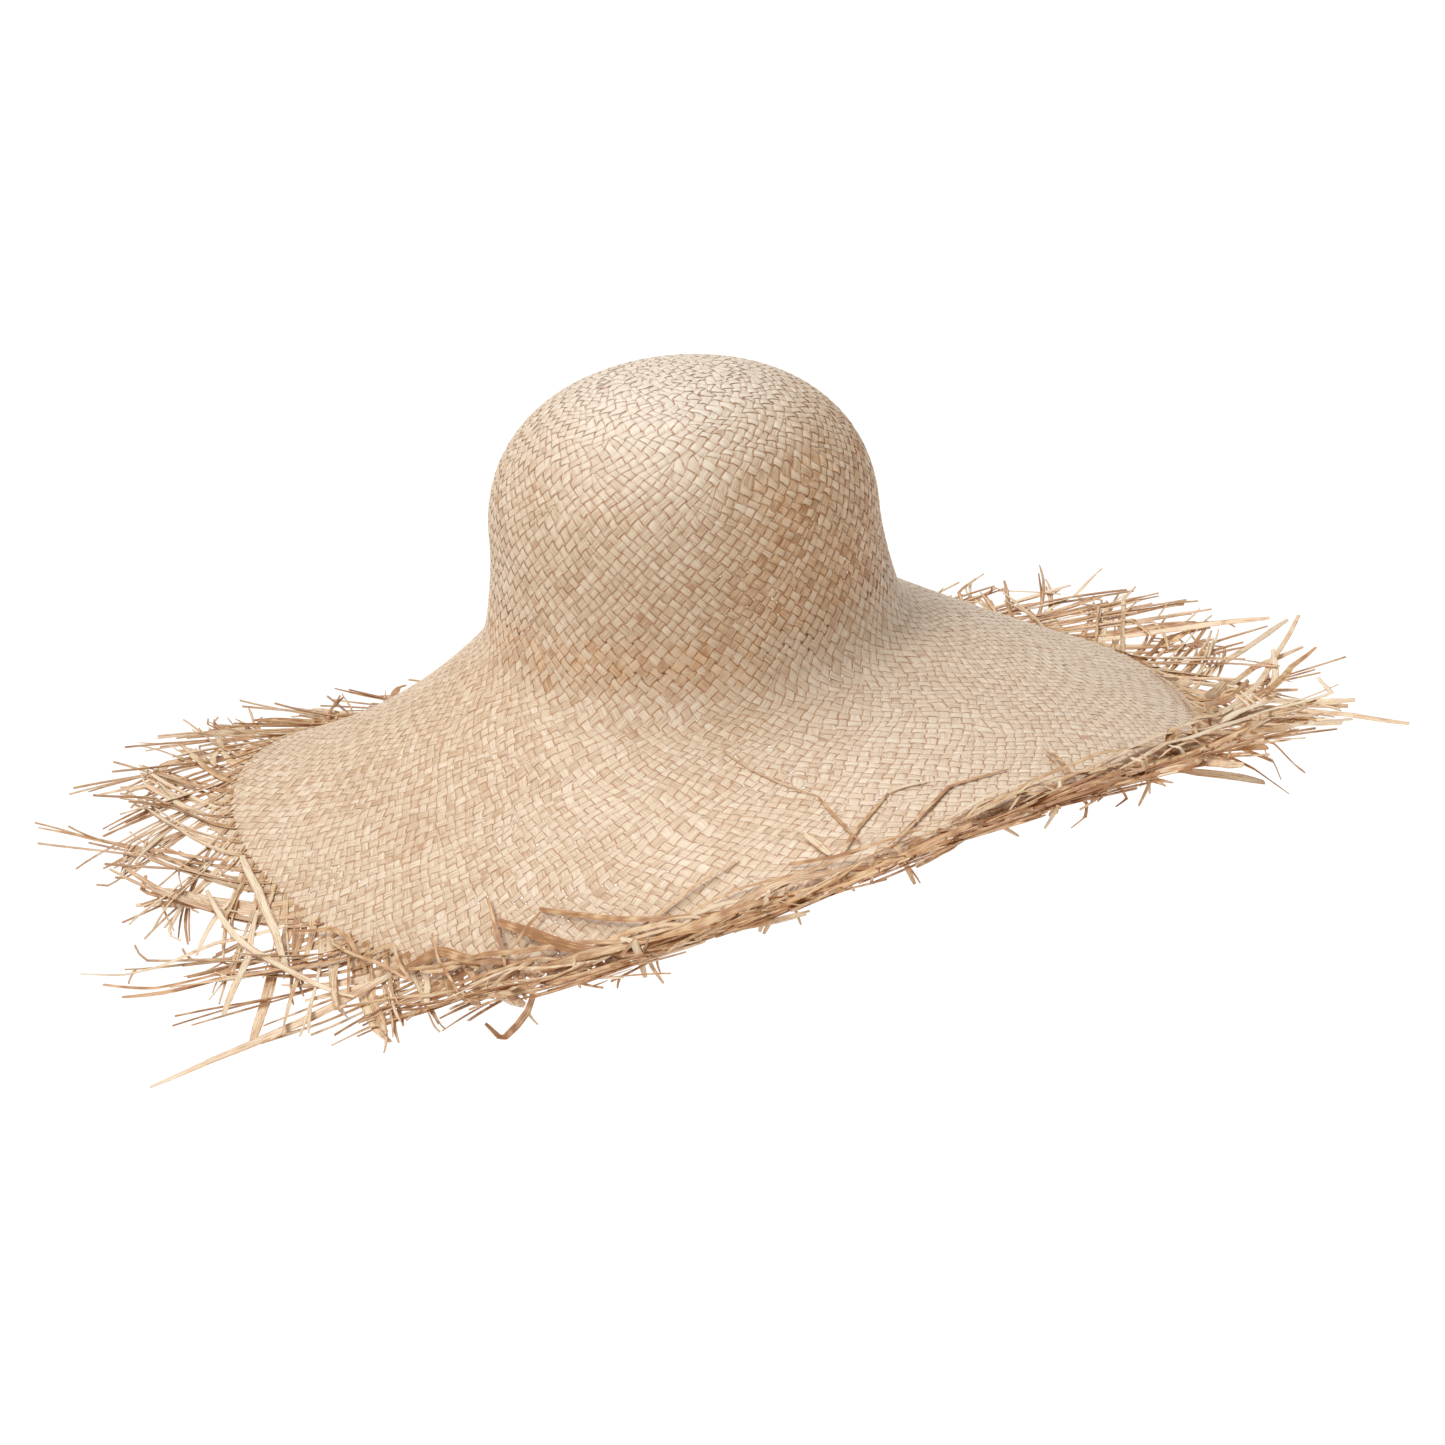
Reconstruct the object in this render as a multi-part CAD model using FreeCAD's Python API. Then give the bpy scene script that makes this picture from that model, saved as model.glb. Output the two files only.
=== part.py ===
# Straw sun hat: a raffia hat body woven in one go from the crown tip to a wide,
# drooping brim, whose strand ends are left loose as a long fringe, with a ribbon
# sweatband and blank labels sewn inside the crown.
#
# Frame: millimetres, +Z up along the crown's axis, -Y towards the front of the hat,
# origin at the centre of the head opening, where the crown meets the brim.
# Azimuths are measured about +Z from +X.
import FreeCAD, Part

import math
import os
import random

# ---- crown ---------------------------------------------------------------------
CROWN_HEIGHT = 121.0        # from the head opening to the top of the dome
DOME_BASE_HEIGHT = 49.0     # where the dome turns into the side wall
DOME_RADIUS = 91.5          # front-to-back half width at the foot of the dome
OPENING_RADIUS = 100.3      # half width that the wall would reach at the opening
DOME_SQUARENESS = 2.28      # 2 is an ellipsoid, more is fuller in the shoulder
WALL_FLARE = 1.6            # how late the wall turns outwards on its way down
SIDE_RATIO = 0.969          # side-to-side over front-to-back width of the head oval
STRAW_THICKNESS = 1.4       # one strand over another

# ---- brim ----------------------------------------------------------------------
JOIN_HEIGHT = 14.0          # height on the wall where the brim's flare starts
WALL_SLOPE = 77.0           # slope of the wall at the join, below horizontal
FLARE_LENGTH = 26.0         # length of the rounded turn from wall to brim
BRIM_LENGTH = 156.0         # from the join to the woven edge, along the straw
# Slope below horizontal next to the crown and at the woven edge: a mean, then waves
# round the brim as (lobes, amplitude, azimuth of the steepest place), in degrees.
INNER_SLOPE = (34.0, [(1, 18.4, 123.0)])
OUTER_SLOPE = (24.0, [(1, 10.2, 104.0), (2, 9.6, 60.0), (3, 10.8, -6.0)])

# ---- fringe --------------------------------------------------------------------
SECTORS = 12                # sectors of the fringe, one node each for both families
STRANDS_PER_SECTOR = 18     # loose ends of one family in one sector
STRAND_ANGLE = 45.0         # between a strand and the straight way outwards
STRAND_THICKNESS = 0.5
STRAND_WIDTHS = (1.6, 4.6)
STRAND_LENGTHS = (72.0, 112.0)
LAYER_OFFSET = 0.6          # one family lies this far above the brim's middle, one below
EDGE_GAP = 0.4
TIP_TAPER = 0.45            # width at the tip over width at the root
# Slope of the fringe below horizontal at azimuths round the brim, in degrees.
FRINGE_SLOPE = [(0, 6), (20, -8), (45, -6), (70, 0), (90, 2), (135, 4), (160, -2), (180, -4),
                (200, 0), (215, 10), (226, 14), (238, 0), (250, -18), (270, -25), (300, -25),
                (325, -20), (345, -6), (360, 6)]

# ---- single straws over and under the front edge -----------------------------------
# Each is a width, then (azimuth in degrees, reach past the woven edge, lift) places.
STRAY_STRAWS = [
    (1.2, [(287, -24, 2), (285, -44, 5), (283, -62, 9)]),
    (2.0, [(289, -12, 2), (295, -30, 6), (302, -45, 7), (310, -37, 5)]),
    (1.6, [(285, -28, 2), (289, -42, 5), (294, -54, 6), (299, -57, 4)]),
    (1.2, [(311, -4, 2), (314, -22, 4), (316, -38, 6)]),
    (1.2, [(341, -3, 2), (346, -6, 3), (352, -10, 3), (361, -12, 2)]),
    (5.0, [(242, -24, 4), (248, -16, 6), (254, -4, 7), (260, 5, 4)]),
    (2.8, [(247, -31, 2), (254, -23, 4), (261, -13, 5), (269, -4, 4)]),
    (2.1, [(257, 2, 2), (261, -9, 5), (267, -25, 7), (273, -36, 6)]),
    (2.6, [(308, -2, 3), (318, -7, 6), (330, -8, 6), (343, 6, 5)]),
    (3.4, [(315, 2, 2), (327, -3, 5), (340, 10, 7), (350, 30, 6)]),
    (2.6, [(232, 4, 4), (243, -6, 7), (255, -7, 6), (266, 4, 3)]),
]
DANGLING_STRAW = (2.4, [(247, 12, -2.5), (247, 17, -16), (244, 18, -30), (241, 20, -24)])

# ---- sweatband, labels and thread --------------------------------------------------
BAND_THICKNESS = 0.8
BAND_CLEARANCE = 0.3
BAND_BOTTOM = 4.0
BAND_TOP = 30.0
THREAD_DIAMETER = 0.5
STITCH_LENGTH = 4.0
STITCH_COUNT = 96
STITCH_HEIGHT = 6.0         # row of stitches above the opening
LABEL_THICKNESS = 0.5
LABEL_GAP = 0.1
MAKER_LABEL = (46.0, 16.0)  # width, height
SIZE_LABEL = (13.0, 14.0)
BACK_AZIMUTH = 90.0
SIZE_LABEL_AZIMUTH = 112.0
LABEL_HEIGHT = 18.0         # middle of both labels above the opening

# ---- how finely curves are followed ------------------------------------------------
AZIMUTH_STATIONS = 48
BRIM_STATIONS = 13
SLOPE_STEPS = 40
DOME_POINTS = 12
WALL_POINTS = 5

STRAW_RANDOM = random.Random(11)


def vector(x, y, z):
    return FreeCAD.Vector(x, y, z)


def wave(terms, azimuth):
    mean, lobes = terms
    value = mean
    for count, amplitude, crest in lobes:
        value += amplitude * math.cos(count * (azimuth - math.radians(crest)))
    return value


def wall_radius(height):
    """Front-to-back half width of the outer face of the side wall."""
    fall = 1.0 - height / DOME_BASE_HEIGHT
    return DOME_RADIUS + (OPENING_RADIUS - DOME_RADIUS) * fall ** WALL_FLARE


def crown_outline():
    """Outer profile from the tip to the join, as (radius, height)."""
    points = []
    power = 2.0 / DOME_SQUARENESS
    rise = CROWN_HEIGHT - DOME_BASE_HEIGHT
    for i in range(DOME_POINTS + 1):
        turn = 0.5 * math.pi * i / DOME_POINTS
        radius = DOME_RADIUS * math.sin(turn) ** power
        height = DOME_BASE_HEIGHT + rise * max(math.cos(turn), 0.0) ** power
        points.append((radius, height))
    for i in range(1, WALL_POINTS + 1):
        height = DOME_BASE_HEIGHT + (JOIN_HEIGHT - DOME_BASE_HEIGHT) * i / WALL_POINTS
        points.append((wall_radius(height), height))
    return points


def offset_outline(points, distance):
    """The same profile moved inwards, its ends kept on the axis and on the join."""
    moved = []
    last = len(points) - 1
    for i, (radius, height) in enumerate(points):
        if i == 0:
            moved.append((0.0, height - distance))
            continue
        before = points[i - 1]
        after = points[min(i + 1, last)]
        along = (after[0] - before[0], after[1] - before[1])
        length = math.hypot(*along)
        normal = (along[1] / length, -along[0] / length)
        step = distance if i < last else distance / abs(normal[0])
        moved.append((radius + step * normal[0], height if i == last else height + step * normal[1]))
    return moved


def ring_from_profile(outer, inner):
    """Solid of revolution between two profiles of (radius, height)."""
    def curve(points):
        spline = Part.BSplineCurve()
        spline.interpolate([vector(r, 0.0, h) for r, h in points])
        return spline.toShape()

    def line(a, b):
        return Part.LineSegment(vector(a[0], 0.0, a[1]), vector(b[0], 0.0, b[1])).toShape()

    edges = [curve(outer), line(outer[-1], inner[-1]), curve(inner), line(inner[0], outer[0])]
    face = Part.Face(Part.Wire(Part.__sortEdges__(edges)))
    solid = face.revolve(vector(0, 0, 0), vector(0, 0, 1), 360.0)
    solid = solid if solid.ShapeType == "Solid" else solid.Solids[0]
    oval = FreeCAD.Matrix()
    oval.A11 = SIDE_RATIO
    return solid.transformGeometry(oval)


def crown():
    outer = crown_outline()
    return ring_from_profile(outer, offset_outline(outer, STRAW_THICKNESS))


def brim_slope(azimuth, distance):
    """Slope below horizontal at a distance along the brim from the join, in radians."""
    share = distance / BRIM_LENGTH
    inner = wave(INNER_SLOPE, azimuth)
    outer = wave(OUTER_SLOPE, azimuth)
    slope = inner + (outer - inner) * share
    if distance < FLARE_LENGTH:
        turn = distance / FLARE_LENGTH
        turn = turn * turn * (3.0 - 2.0 * turn)
        slope = WALL_SLOPE + (slope - WALL_SLOPE) * turn
    return math.radians(slope)


def brim_reach(azimuth, distance):
    """Run outwards and fall from the join to a place on the brim's upper face."""
    run = 0.0
    fall = 0.0
    step = distance / SLOPE_STEPS
    for i in range(SLOPE_STEPS):
        slope = brim_slope(azimuth, (i + 0.5) * step)
        run += step * math.cos(slope)
        fall += step * math.sin(slope)
    return run, fall


def brim_point(azimuth, distance, depth=0.0):
    """Place on the brim, depth below its upper face, square to the straw."""
    run, fall = brim_reach(azimuth, distance)
    slope = brim_slope(azimuth, distance)
    if distance == 0.0:
        run -= depth / math.sin(slope)
    else:
        run -= depth * math.sin(slope)
        fall += depth * math.cos(slope)
    start = wall_radius(JOIN_HEIGHT)
    return vector((start * SIDE_RATIO + run) * math.cos(azimuth),
                  (start + run) * math.sin(azimuth),
                  JOIN_HEIGHT - fall)


def closed_curve(place):
    """Smooth closed edge through the places that a function gives round the brim."""
    points = [place(2.0 * math.pi * i / AZIMUTH_STATIONS) for i in range(AZIMUTH_STATIONS)]
    spline = Part.BSplineCurve()
    spline.interpolate(Points=points, PeriodicFlag=True)
    return spline.toShape()


def brim():
    distances = [0.0, 4.0, 9.0, 14.0, 20.0, 27.0]
    outward = BRIM_STATIONS - len(distances)
    distances += [27.0 + (BRIM_LENGTH - 27.0) * i / outward for i in range(1, outward + 1)]

    def face_curves(depth):
        return [closed_curve(lambda a, d=d: brim_point(a, d, depth)) for d in distances]

    upper = face_curves(0.0)
    lower = face_curves(STRAW_THICKNESS)
    shells = [Part.makeLoft([Part.Wire(e) for e in upper], False, False),
              Part.makeLoft([Part.Wire(e) for e in lower], False, False),
              Part.makeRuledSurface(upper[0], lower[0]),
              Part.makeRuledSurface(upper[-1], lower[-1])]
    faces = [face for shell in shells for face in shell.Faces]
    sewn = Part.makeCompound(faces)
    sewn.sewShape(0.02)
    shell = sewn if sewn.ShapeType == "Shell" else sewn.Shells[0]
    solid = Part.Solid(shell)
    if solid.Volume < 0.0:
        solid.reverse()
    return solid


def fringe_slope(azimuth):
    """Slope of the fringe below horizontal at an azimuth, in radians."""
    degrees = math.degrees(azimuth) % 360.0
    for (a, slope_a), (b, slope_b) in zip(FRINGE_SLOPE, FRINGE_SLOPE[1:]):
        if a <= degrees <= b:
            share = (degrees - a) / (b - a)
            share = 0.5 - 0.5 * math.cos(math.pi * share)
            return math.radians(slope_a + (slope_b - slope_a) * share)
    return 0.0


def fringe_place(azimuth, reach, lift):
    """Place on the fringe's surface, reach beyond the woven edge, lift above its middle."""
    edge = brim_point(azimuth, BRIM_LENGTH, 0.5 * STRAW_THICKNESS)
    slope = fringe_slope(azimuth)
    outwards = reach * math.cos(slope) + lift * math.sin(slope)
    upwards = lift * math.cos(slope) - reach * math.sin(slope)
    return edge + vector(outwards * math.cos(azimuth), outwards * math.sin(azimuth), upwards)


def flat_strand(middles, ups, widths, thickness):
    """Flat straw through a few places: one solid with a kink at each inner place."""
    wires = []
    last = len(middles) - 1
    for i, middle in enumerate(middles):
        along = (middles[min(i + 1, last)] - middles[max(i - 1, 0)]).normalize()
        across = along.cross(ups[i]).normalize() * (0.5 * widths[i])
        up = across.cross(along).normalize() * (0.5 * thickness)
        corners = [middle + across + up, middle - across + up,
                   middle - across - up, middle + across - up]
        wires.append(Part.makePolygon(corners + corners[:1]))
    strand = Part.makeLoft(wires, True, True)
    if strand.Volume < 0.0:
        strand.reverse()
    return strand


def edge_radius(azimuth):
    edge = brim_point(azimuth, BRIM_LENGTH)
    return math.hypot(edge.x, edge.y)


def fringe_strand(azimuth, lean):
    """One loose end: lean +1 runs anticlockwise as it goes out, -1 clockwise."""
    length = STRAW_RANDOM.uniform(*STRAND_LENGTHS)
    width = STRAW_RANDOM.uniform(*STRAND_WIDTHS)
    angle = math.radians(STRAND_ANGLE + STRAW_RANDOM.uniform(-3.0, 3.0))
    middles = []
    ups = []
    widths = []
    for share in (0.0, 0.3, 0.62, 1.0):
        reach = EDGE_GAP + share * length * math.cos(angle)
        sideways = share * length * math.sin(angle)
        here = azimuth + lean * sideways / (edge_radius(azimuth) + 0.5 * reach)
        lift = lean * LAYER_OFFSET
        middles.append(fringe_place(here, reach, lift))
        ups.append(fringe_place(here, reach, lift + 1.0) - middles[-1])
        widths.append(width * (1.0 + (TIP_TAPER - 1.0) * share))
    return flat_strand(middles, ups, widths, STRAND_THICKNESS)


def fringe_sector(sector, lean):
    strands = []
    for i in range(STRANDS_PER_SECTOR):
        share = (i + 0.5) / STRANDS_PER_SECTOR
        azimuth = 2.0 * math.pi * (sector + share) / SECTORS
        strands.append(fringe_strand(azimuth, lean))
    return Part.makeCompound(strands)


def straw_place(azimuth, reach, lift):
    """Place lift above the brim, or above the fringe where it is past the woven edge."""
    if reach < 0.0:
        return brim_point(azimuth, BRIM_LENGTH + reach, -lift)
    return fringe_place(azimuth, reach, lift)


def straw_through(width, places):
    """Kinked straw through (azimuth in degrees, reach, lift) places."""
    middles = [straw_place(math.radians(a), reach, lift) for a, reach, lift in places]
    ups = [vector(0, 0, 1)] * len(middles)
    widths = [width] * len(middles)
    return flat_strand(middles, ups, widths, STRAND_THICKNESS)


def stray_straws_front():
    """Loose kinked straws that lie over the front edge of the brim."""
    return Part.makeCompound([straw_through(width, places) for width, places in STRAY_STRAWS])


def dangling_straw():
    """One straw that hangs below the front left of the fringe, bent back on itself."""
    return straw_through(*DANGLING_STRAW)


def band_radius(height):
    """Front-to-back outer half width of the sweatband."""
    wall = wall_radius(max(height, JOIN_HEIGHT)) - STRAW_THICKNESS * 1.03 - BAND_CLEARANCE
    hang = max(JOIN_HEIGHT - height, 0.0) * 0.06
    return wall + hang


def sweatband():
    heights = [BAND_TOP, 22.0, JOIN_HEIGHT, 9.0, BAND_BOTTOM]
    outer = [(band_radius(h), h) for h in heights]
    inner = [(r - BAND_THICKNESS, h) for r, h in outer]
    return ring_from_profile(outer, inner)


def band_place(azimuth, height, inset):
    """Place inside the sweatband's inner face, inset towards the crown's axis."""
    radius = band_radius(height) - BAND_THICKNESS - inset
    return vector(radius * SIDE_RATIO * math.cos(azimuth), radius * math.sin(azimuth), height)


def stitch(a, b):
    run = b - a
    return Part.makeCylinder(0.5 * THREAD_DIAMETER, run.Length, a, run)


def sweatband_stitches():
    """Running stitches that hold the sweatband's lower edge to the straw."""
    inset = 0.5 * THREAD_DIAMETER
    half_turn = 0.5 * STITCH_LENGTH / band_radius(STITCH_HEIGHT)
    stitches = []
    for i in range(STITCH_COUNT):
        azimuth = 2.0 * math.pi * i / STITCH_COUNT
        stitches.append(stitch(band_place(azimuth - half_turn, STITCH_HEIGHT, inset),
                               band_place(azimuth + half_turn, STITCH_HEIGHT, inset)))
    return Part.makeCompound(stitches)


def label(size, azimuth_degrees):
    """Blank woven label bent along the sweatband's inner face."""
    width, height = size
    azimuth = math.radians(azimuth_degrees)
    half_turn = 0.5 * width / band_radius(LABEL_HEIGHT)
    wires = []
    for i in range(7):
        here = azimuth + half_turn * (i / 3.0 - 1.0)
        low = LABEL_HEIGHT - 0.5 * height
        high = LABEL_HEIGHT + 0.5 * height
        corners = [band_place(here, low, LABEL_GAP), band_place(here, high, LABEL_GAP),
                   band_place(here, high, LABEL_GAP + LABEL_THICKNESS),
                   band_place(here, low, LABEL_GAP + LABEL_THICKNESS)]
        wires.append(Part.makePolygon(corners + corners[:1]))
    solid = Part.makeLoft(wires, True, True)
    if solid.Volume < 0.0:
        solid.reverse()
    return solid


def label_stitches():
    """A column of short stitches at each end of both labels."""
    inset = LABEL_GAP + LABEL_THICKNESS + 0.5 * THREAD_DIAMETER
    stitches = []
    for (width, height), middle in ((MAKER_LABEL, BACK_AZIMUTH), (SIZE_LABEL, SIZE_LABEL_AZIMUTH)):
        count = int(height // 3.0)
        for end in (-1.0, 1.0):
            reach = end * (0.5 * width - 1.5) / band_radius(LABEL_HEIGHT)
            azimuth = math.radians(middle) + reach
            for i in range(count):
                low = LABEL_HEIGHT - 0.5 * height + (i + 0.25) * height / count
                stitches.append(stitch(band_place(azimuth, low, inset),
                                       band_place(azimuth, low + 2.0, inset)))
    return Part.makeCompound(stitches)


def save(name, shape):
    shape.exportStep("parts/" + name + ".step")
    box = shape.BoundBox
    print("%-24s valid %s solids %3d volume %9.1f mm3  z %7.1f..%6.1f"
          % (name, shape.isValid(), len(shape.Solids), shape.Volume, box.ZMin, box.ZMax))


os.makedirs("parts", exist_ok=True)
save("crown", crown())
save("brim", brim())
save("sweatband", sweatband())
save("sweatband_stitches", sweatband_stitches())
save("maker_label", label(MAKER_LABEL, BACK_AZIMUTH))
save("size_label", label(SIZE_LABEL, SIZE_LABEL_AZIMUTH))
save("label_stitches", label_stitches())
for number in range(SECTORS):
    save("fringe_left_lean_%02d" % (number + 1), fringe_sector(number, 1))
    save("fringe_right_lean_%02d" % (number + 1), fringe_sector(number, -1))
save("stray_straws_front", stray_straws_front())
save("dangling_straw", dangling_straw())
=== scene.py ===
import math

import bmesh
import bpy
import numpy as np
from mathutils import Matrix, Vector


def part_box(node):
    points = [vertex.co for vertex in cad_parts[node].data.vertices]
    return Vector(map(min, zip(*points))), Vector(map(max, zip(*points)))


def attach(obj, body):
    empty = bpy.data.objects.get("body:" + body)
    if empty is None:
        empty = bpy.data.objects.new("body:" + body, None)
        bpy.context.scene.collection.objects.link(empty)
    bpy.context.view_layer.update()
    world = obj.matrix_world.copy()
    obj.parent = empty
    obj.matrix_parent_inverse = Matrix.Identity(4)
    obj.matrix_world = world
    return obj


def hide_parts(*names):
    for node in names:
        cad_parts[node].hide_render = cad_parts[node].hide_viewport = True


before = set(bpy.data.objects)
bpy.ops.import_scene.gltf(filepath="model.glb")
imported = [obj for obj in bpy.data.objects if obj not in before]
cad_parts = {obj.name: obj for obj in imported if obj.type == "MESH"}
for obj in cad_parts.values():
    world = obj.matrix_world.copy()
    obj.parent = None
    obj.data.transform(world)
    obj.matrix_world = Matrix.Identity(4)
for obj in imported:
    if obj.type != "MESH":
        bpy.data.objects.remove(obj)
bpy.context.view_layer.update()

MM = 0.001
TAU = 2.0 * math.pi

# ---- the hat's shape, as its CAD part has it ---------------------------------------
# Many of these sizes, and the camera's elevation, roll and aim, began as the output of a
# least-squares fit and were then rounded and adjusted.
CROWN_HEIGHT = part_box("crown")[1][2]
JOIN_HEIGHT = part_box("crown")[0][2]
DOME_BASE_HEIGHT = 49.0 * MM
DOME_RADIUS = 91.5 * MM
OPENING_RADIUS = 100.3 * MM
DOME_SQUARENESS = 2.28
WALL_FLARE = 1.6
SIDE_RATIO = 0.969
STRAW_THICKNESS = 1.4 * MM
WALL_SLOPE = 77.0
FLARE_LENGTH = 26.0 * MM
BRIM_LENGTH = 156.0 * MM
INNER_SLOPE = (34.0, [(1, 18.4, 123.0)])
OUTER_SLOPE = (24.0, [(1, 10.2, 104.0), (2, 9.6, 60.0), (3, 10.8, -6.0)])
FRINGE_SLOPE = [(0, 6), (20, -8), (45, -6), (70, 0), (90, 2), (135, 4), (160, -2), (180, -4),
                (200, 0), (215, 10), (226, 14), (238, 0), (250, -18), (270, -25), (300, -25),
                (325, -20), (345, -6), (360, 6)]
FRINGE_TURN = 6.0 * MM          # over which the brim's slope turns into the fringe's
SECTORS = 12

# ---- the weave ---------------------------------------------------------------------
STRAND_PITCH = 4.5 * MM         # middle to middle, square to the strand
WEAVE_SWING = 0.22 * MM         # a strand's middle rises and falls by this on the brim
CROWN_RELIEF = 0.55             # how much more it does on the crown
SWING_FLATNESS = 1.3            # how flat a strand lies between its dives
STRAND_CROWN = 0.20 * MM        # half thickness of a strand at its middle
TIP_RADIUS = 6.5 * MM           # the weave starts this far from the tip
LOOSE_LENGTH = 9.0 * MM         # strands stay woven, loosely, this far past the edge
SAMPLES_PER_CROSSING = 5
COARSE = 1
PAIR_RAMP = 4.0                 # how gently a new pair of strands widens
DOME_SHEEN = 0.52              # how strongly the dome's straw is paled by a painted sheen
BRIM_SHEEN = 0.20              # and the straw at the right of the brim, also by a painted sheen
BRIM_PARTS = 2                  # pieces that each family of brim strands is split into
LEAST_SHARE = 0.05              # of its room that a new strand has when it first shows
BIRTH_STATIONS = 4.0            # over which a new strand widens
END_STATIONS = 9.0              # over which a woven strand narrows to its loose end
# Azimuths, in degrees, where the crown gapes, the brim gapes and the straw is browner: partly a stain,
# partly painted warm shade on the crown's shaded side; on the brim there it is paled by a painted sheen.
CROWN_GAPE, BRIM_GAPE, BROWN_SIDE = -38.0, -110.0, -12.0
SQUARE_STRANDS = 5              # of each family in the start square on the tip
SQUARE_PITCH = 3.7 * MM
SQUARE_TURN = math.radians(24.0)
SQUARE_BULGE = 72.0 * MM        # how strongly the start square curves down from the tip

BAND_BOTTOM, BAND_TOP = (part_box("sweatband")[i][2] for i in (0, 1))


def smooth(value):
    value = np.clip(value, 0.0, 1.0)
    return value * value * (3.0 - 2.0 * value)


def unit(vectors):
    return vectors / np.maximum(np.linalg.norm(vectors, axis=-1, keepdims=True), 1e-12)


def running_sum(steps):
    """Sums of the steps so far along the first axis, from zero."""
    return np.concatenate([np.zeros_like(steps[:1]), np.cumsum(steps, 0)])


def middles(values):
    return 0.5 * (values[1:] + values[:-1])


def round_axis(azimuth, side, front, level):
    """Points whose half widths from the hat's axis are side, in X, and front, in Y."""
    return np.stack([side * np.cos(azimuth), front * np.sin(azimuth), level + 0.0 * azimuth], -1)


def outward(azimuth):
    """Level unit vectors away from the hat's axis."""
    return round_axis(azimuth, 1.0, 1.0, 0.0)


def wave(terms, azimuth):
    """A mean and its lobes round the hat, in degrees."""
    mean, lobes = terms
    value = mean + 0.0 * azimuth
    for count, amplitude, crest in lobes:
        value = value + amplitude * np.cos(count * (azimuth - math.radians(crest)))
    return value


def fringe_slope(azimuth):
    """Slope of the fringe below horizontal, in degrees."""
    degrees = np.degrees(azimuth) % 360.0
    knots = np.array(FRINGE_SLOPE, float)
    after = np.clip(np.searchsorted(knots[:, 0], degrees, side="right"), 1, len(knots) - 1)
    low, high = knots[after - 1], knots[after]
    share = (degrees - low[..., 0]) / (high[..., 0] - low[..., 0])
    return low[..., 1] + (high[..., 1] - low[..., 1]) * (0.5 - 0.5 * np.cos(math.pi * share))


def wall_radius(height):
    fall = np.maximum(1.0 - height / DOME_BASE_HEIGHT, 0.0)
    return DOME_RADIUS + (OPENING_RADIUS - DOME_RADIUS) * fall ** WALL_FLARE


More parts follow.
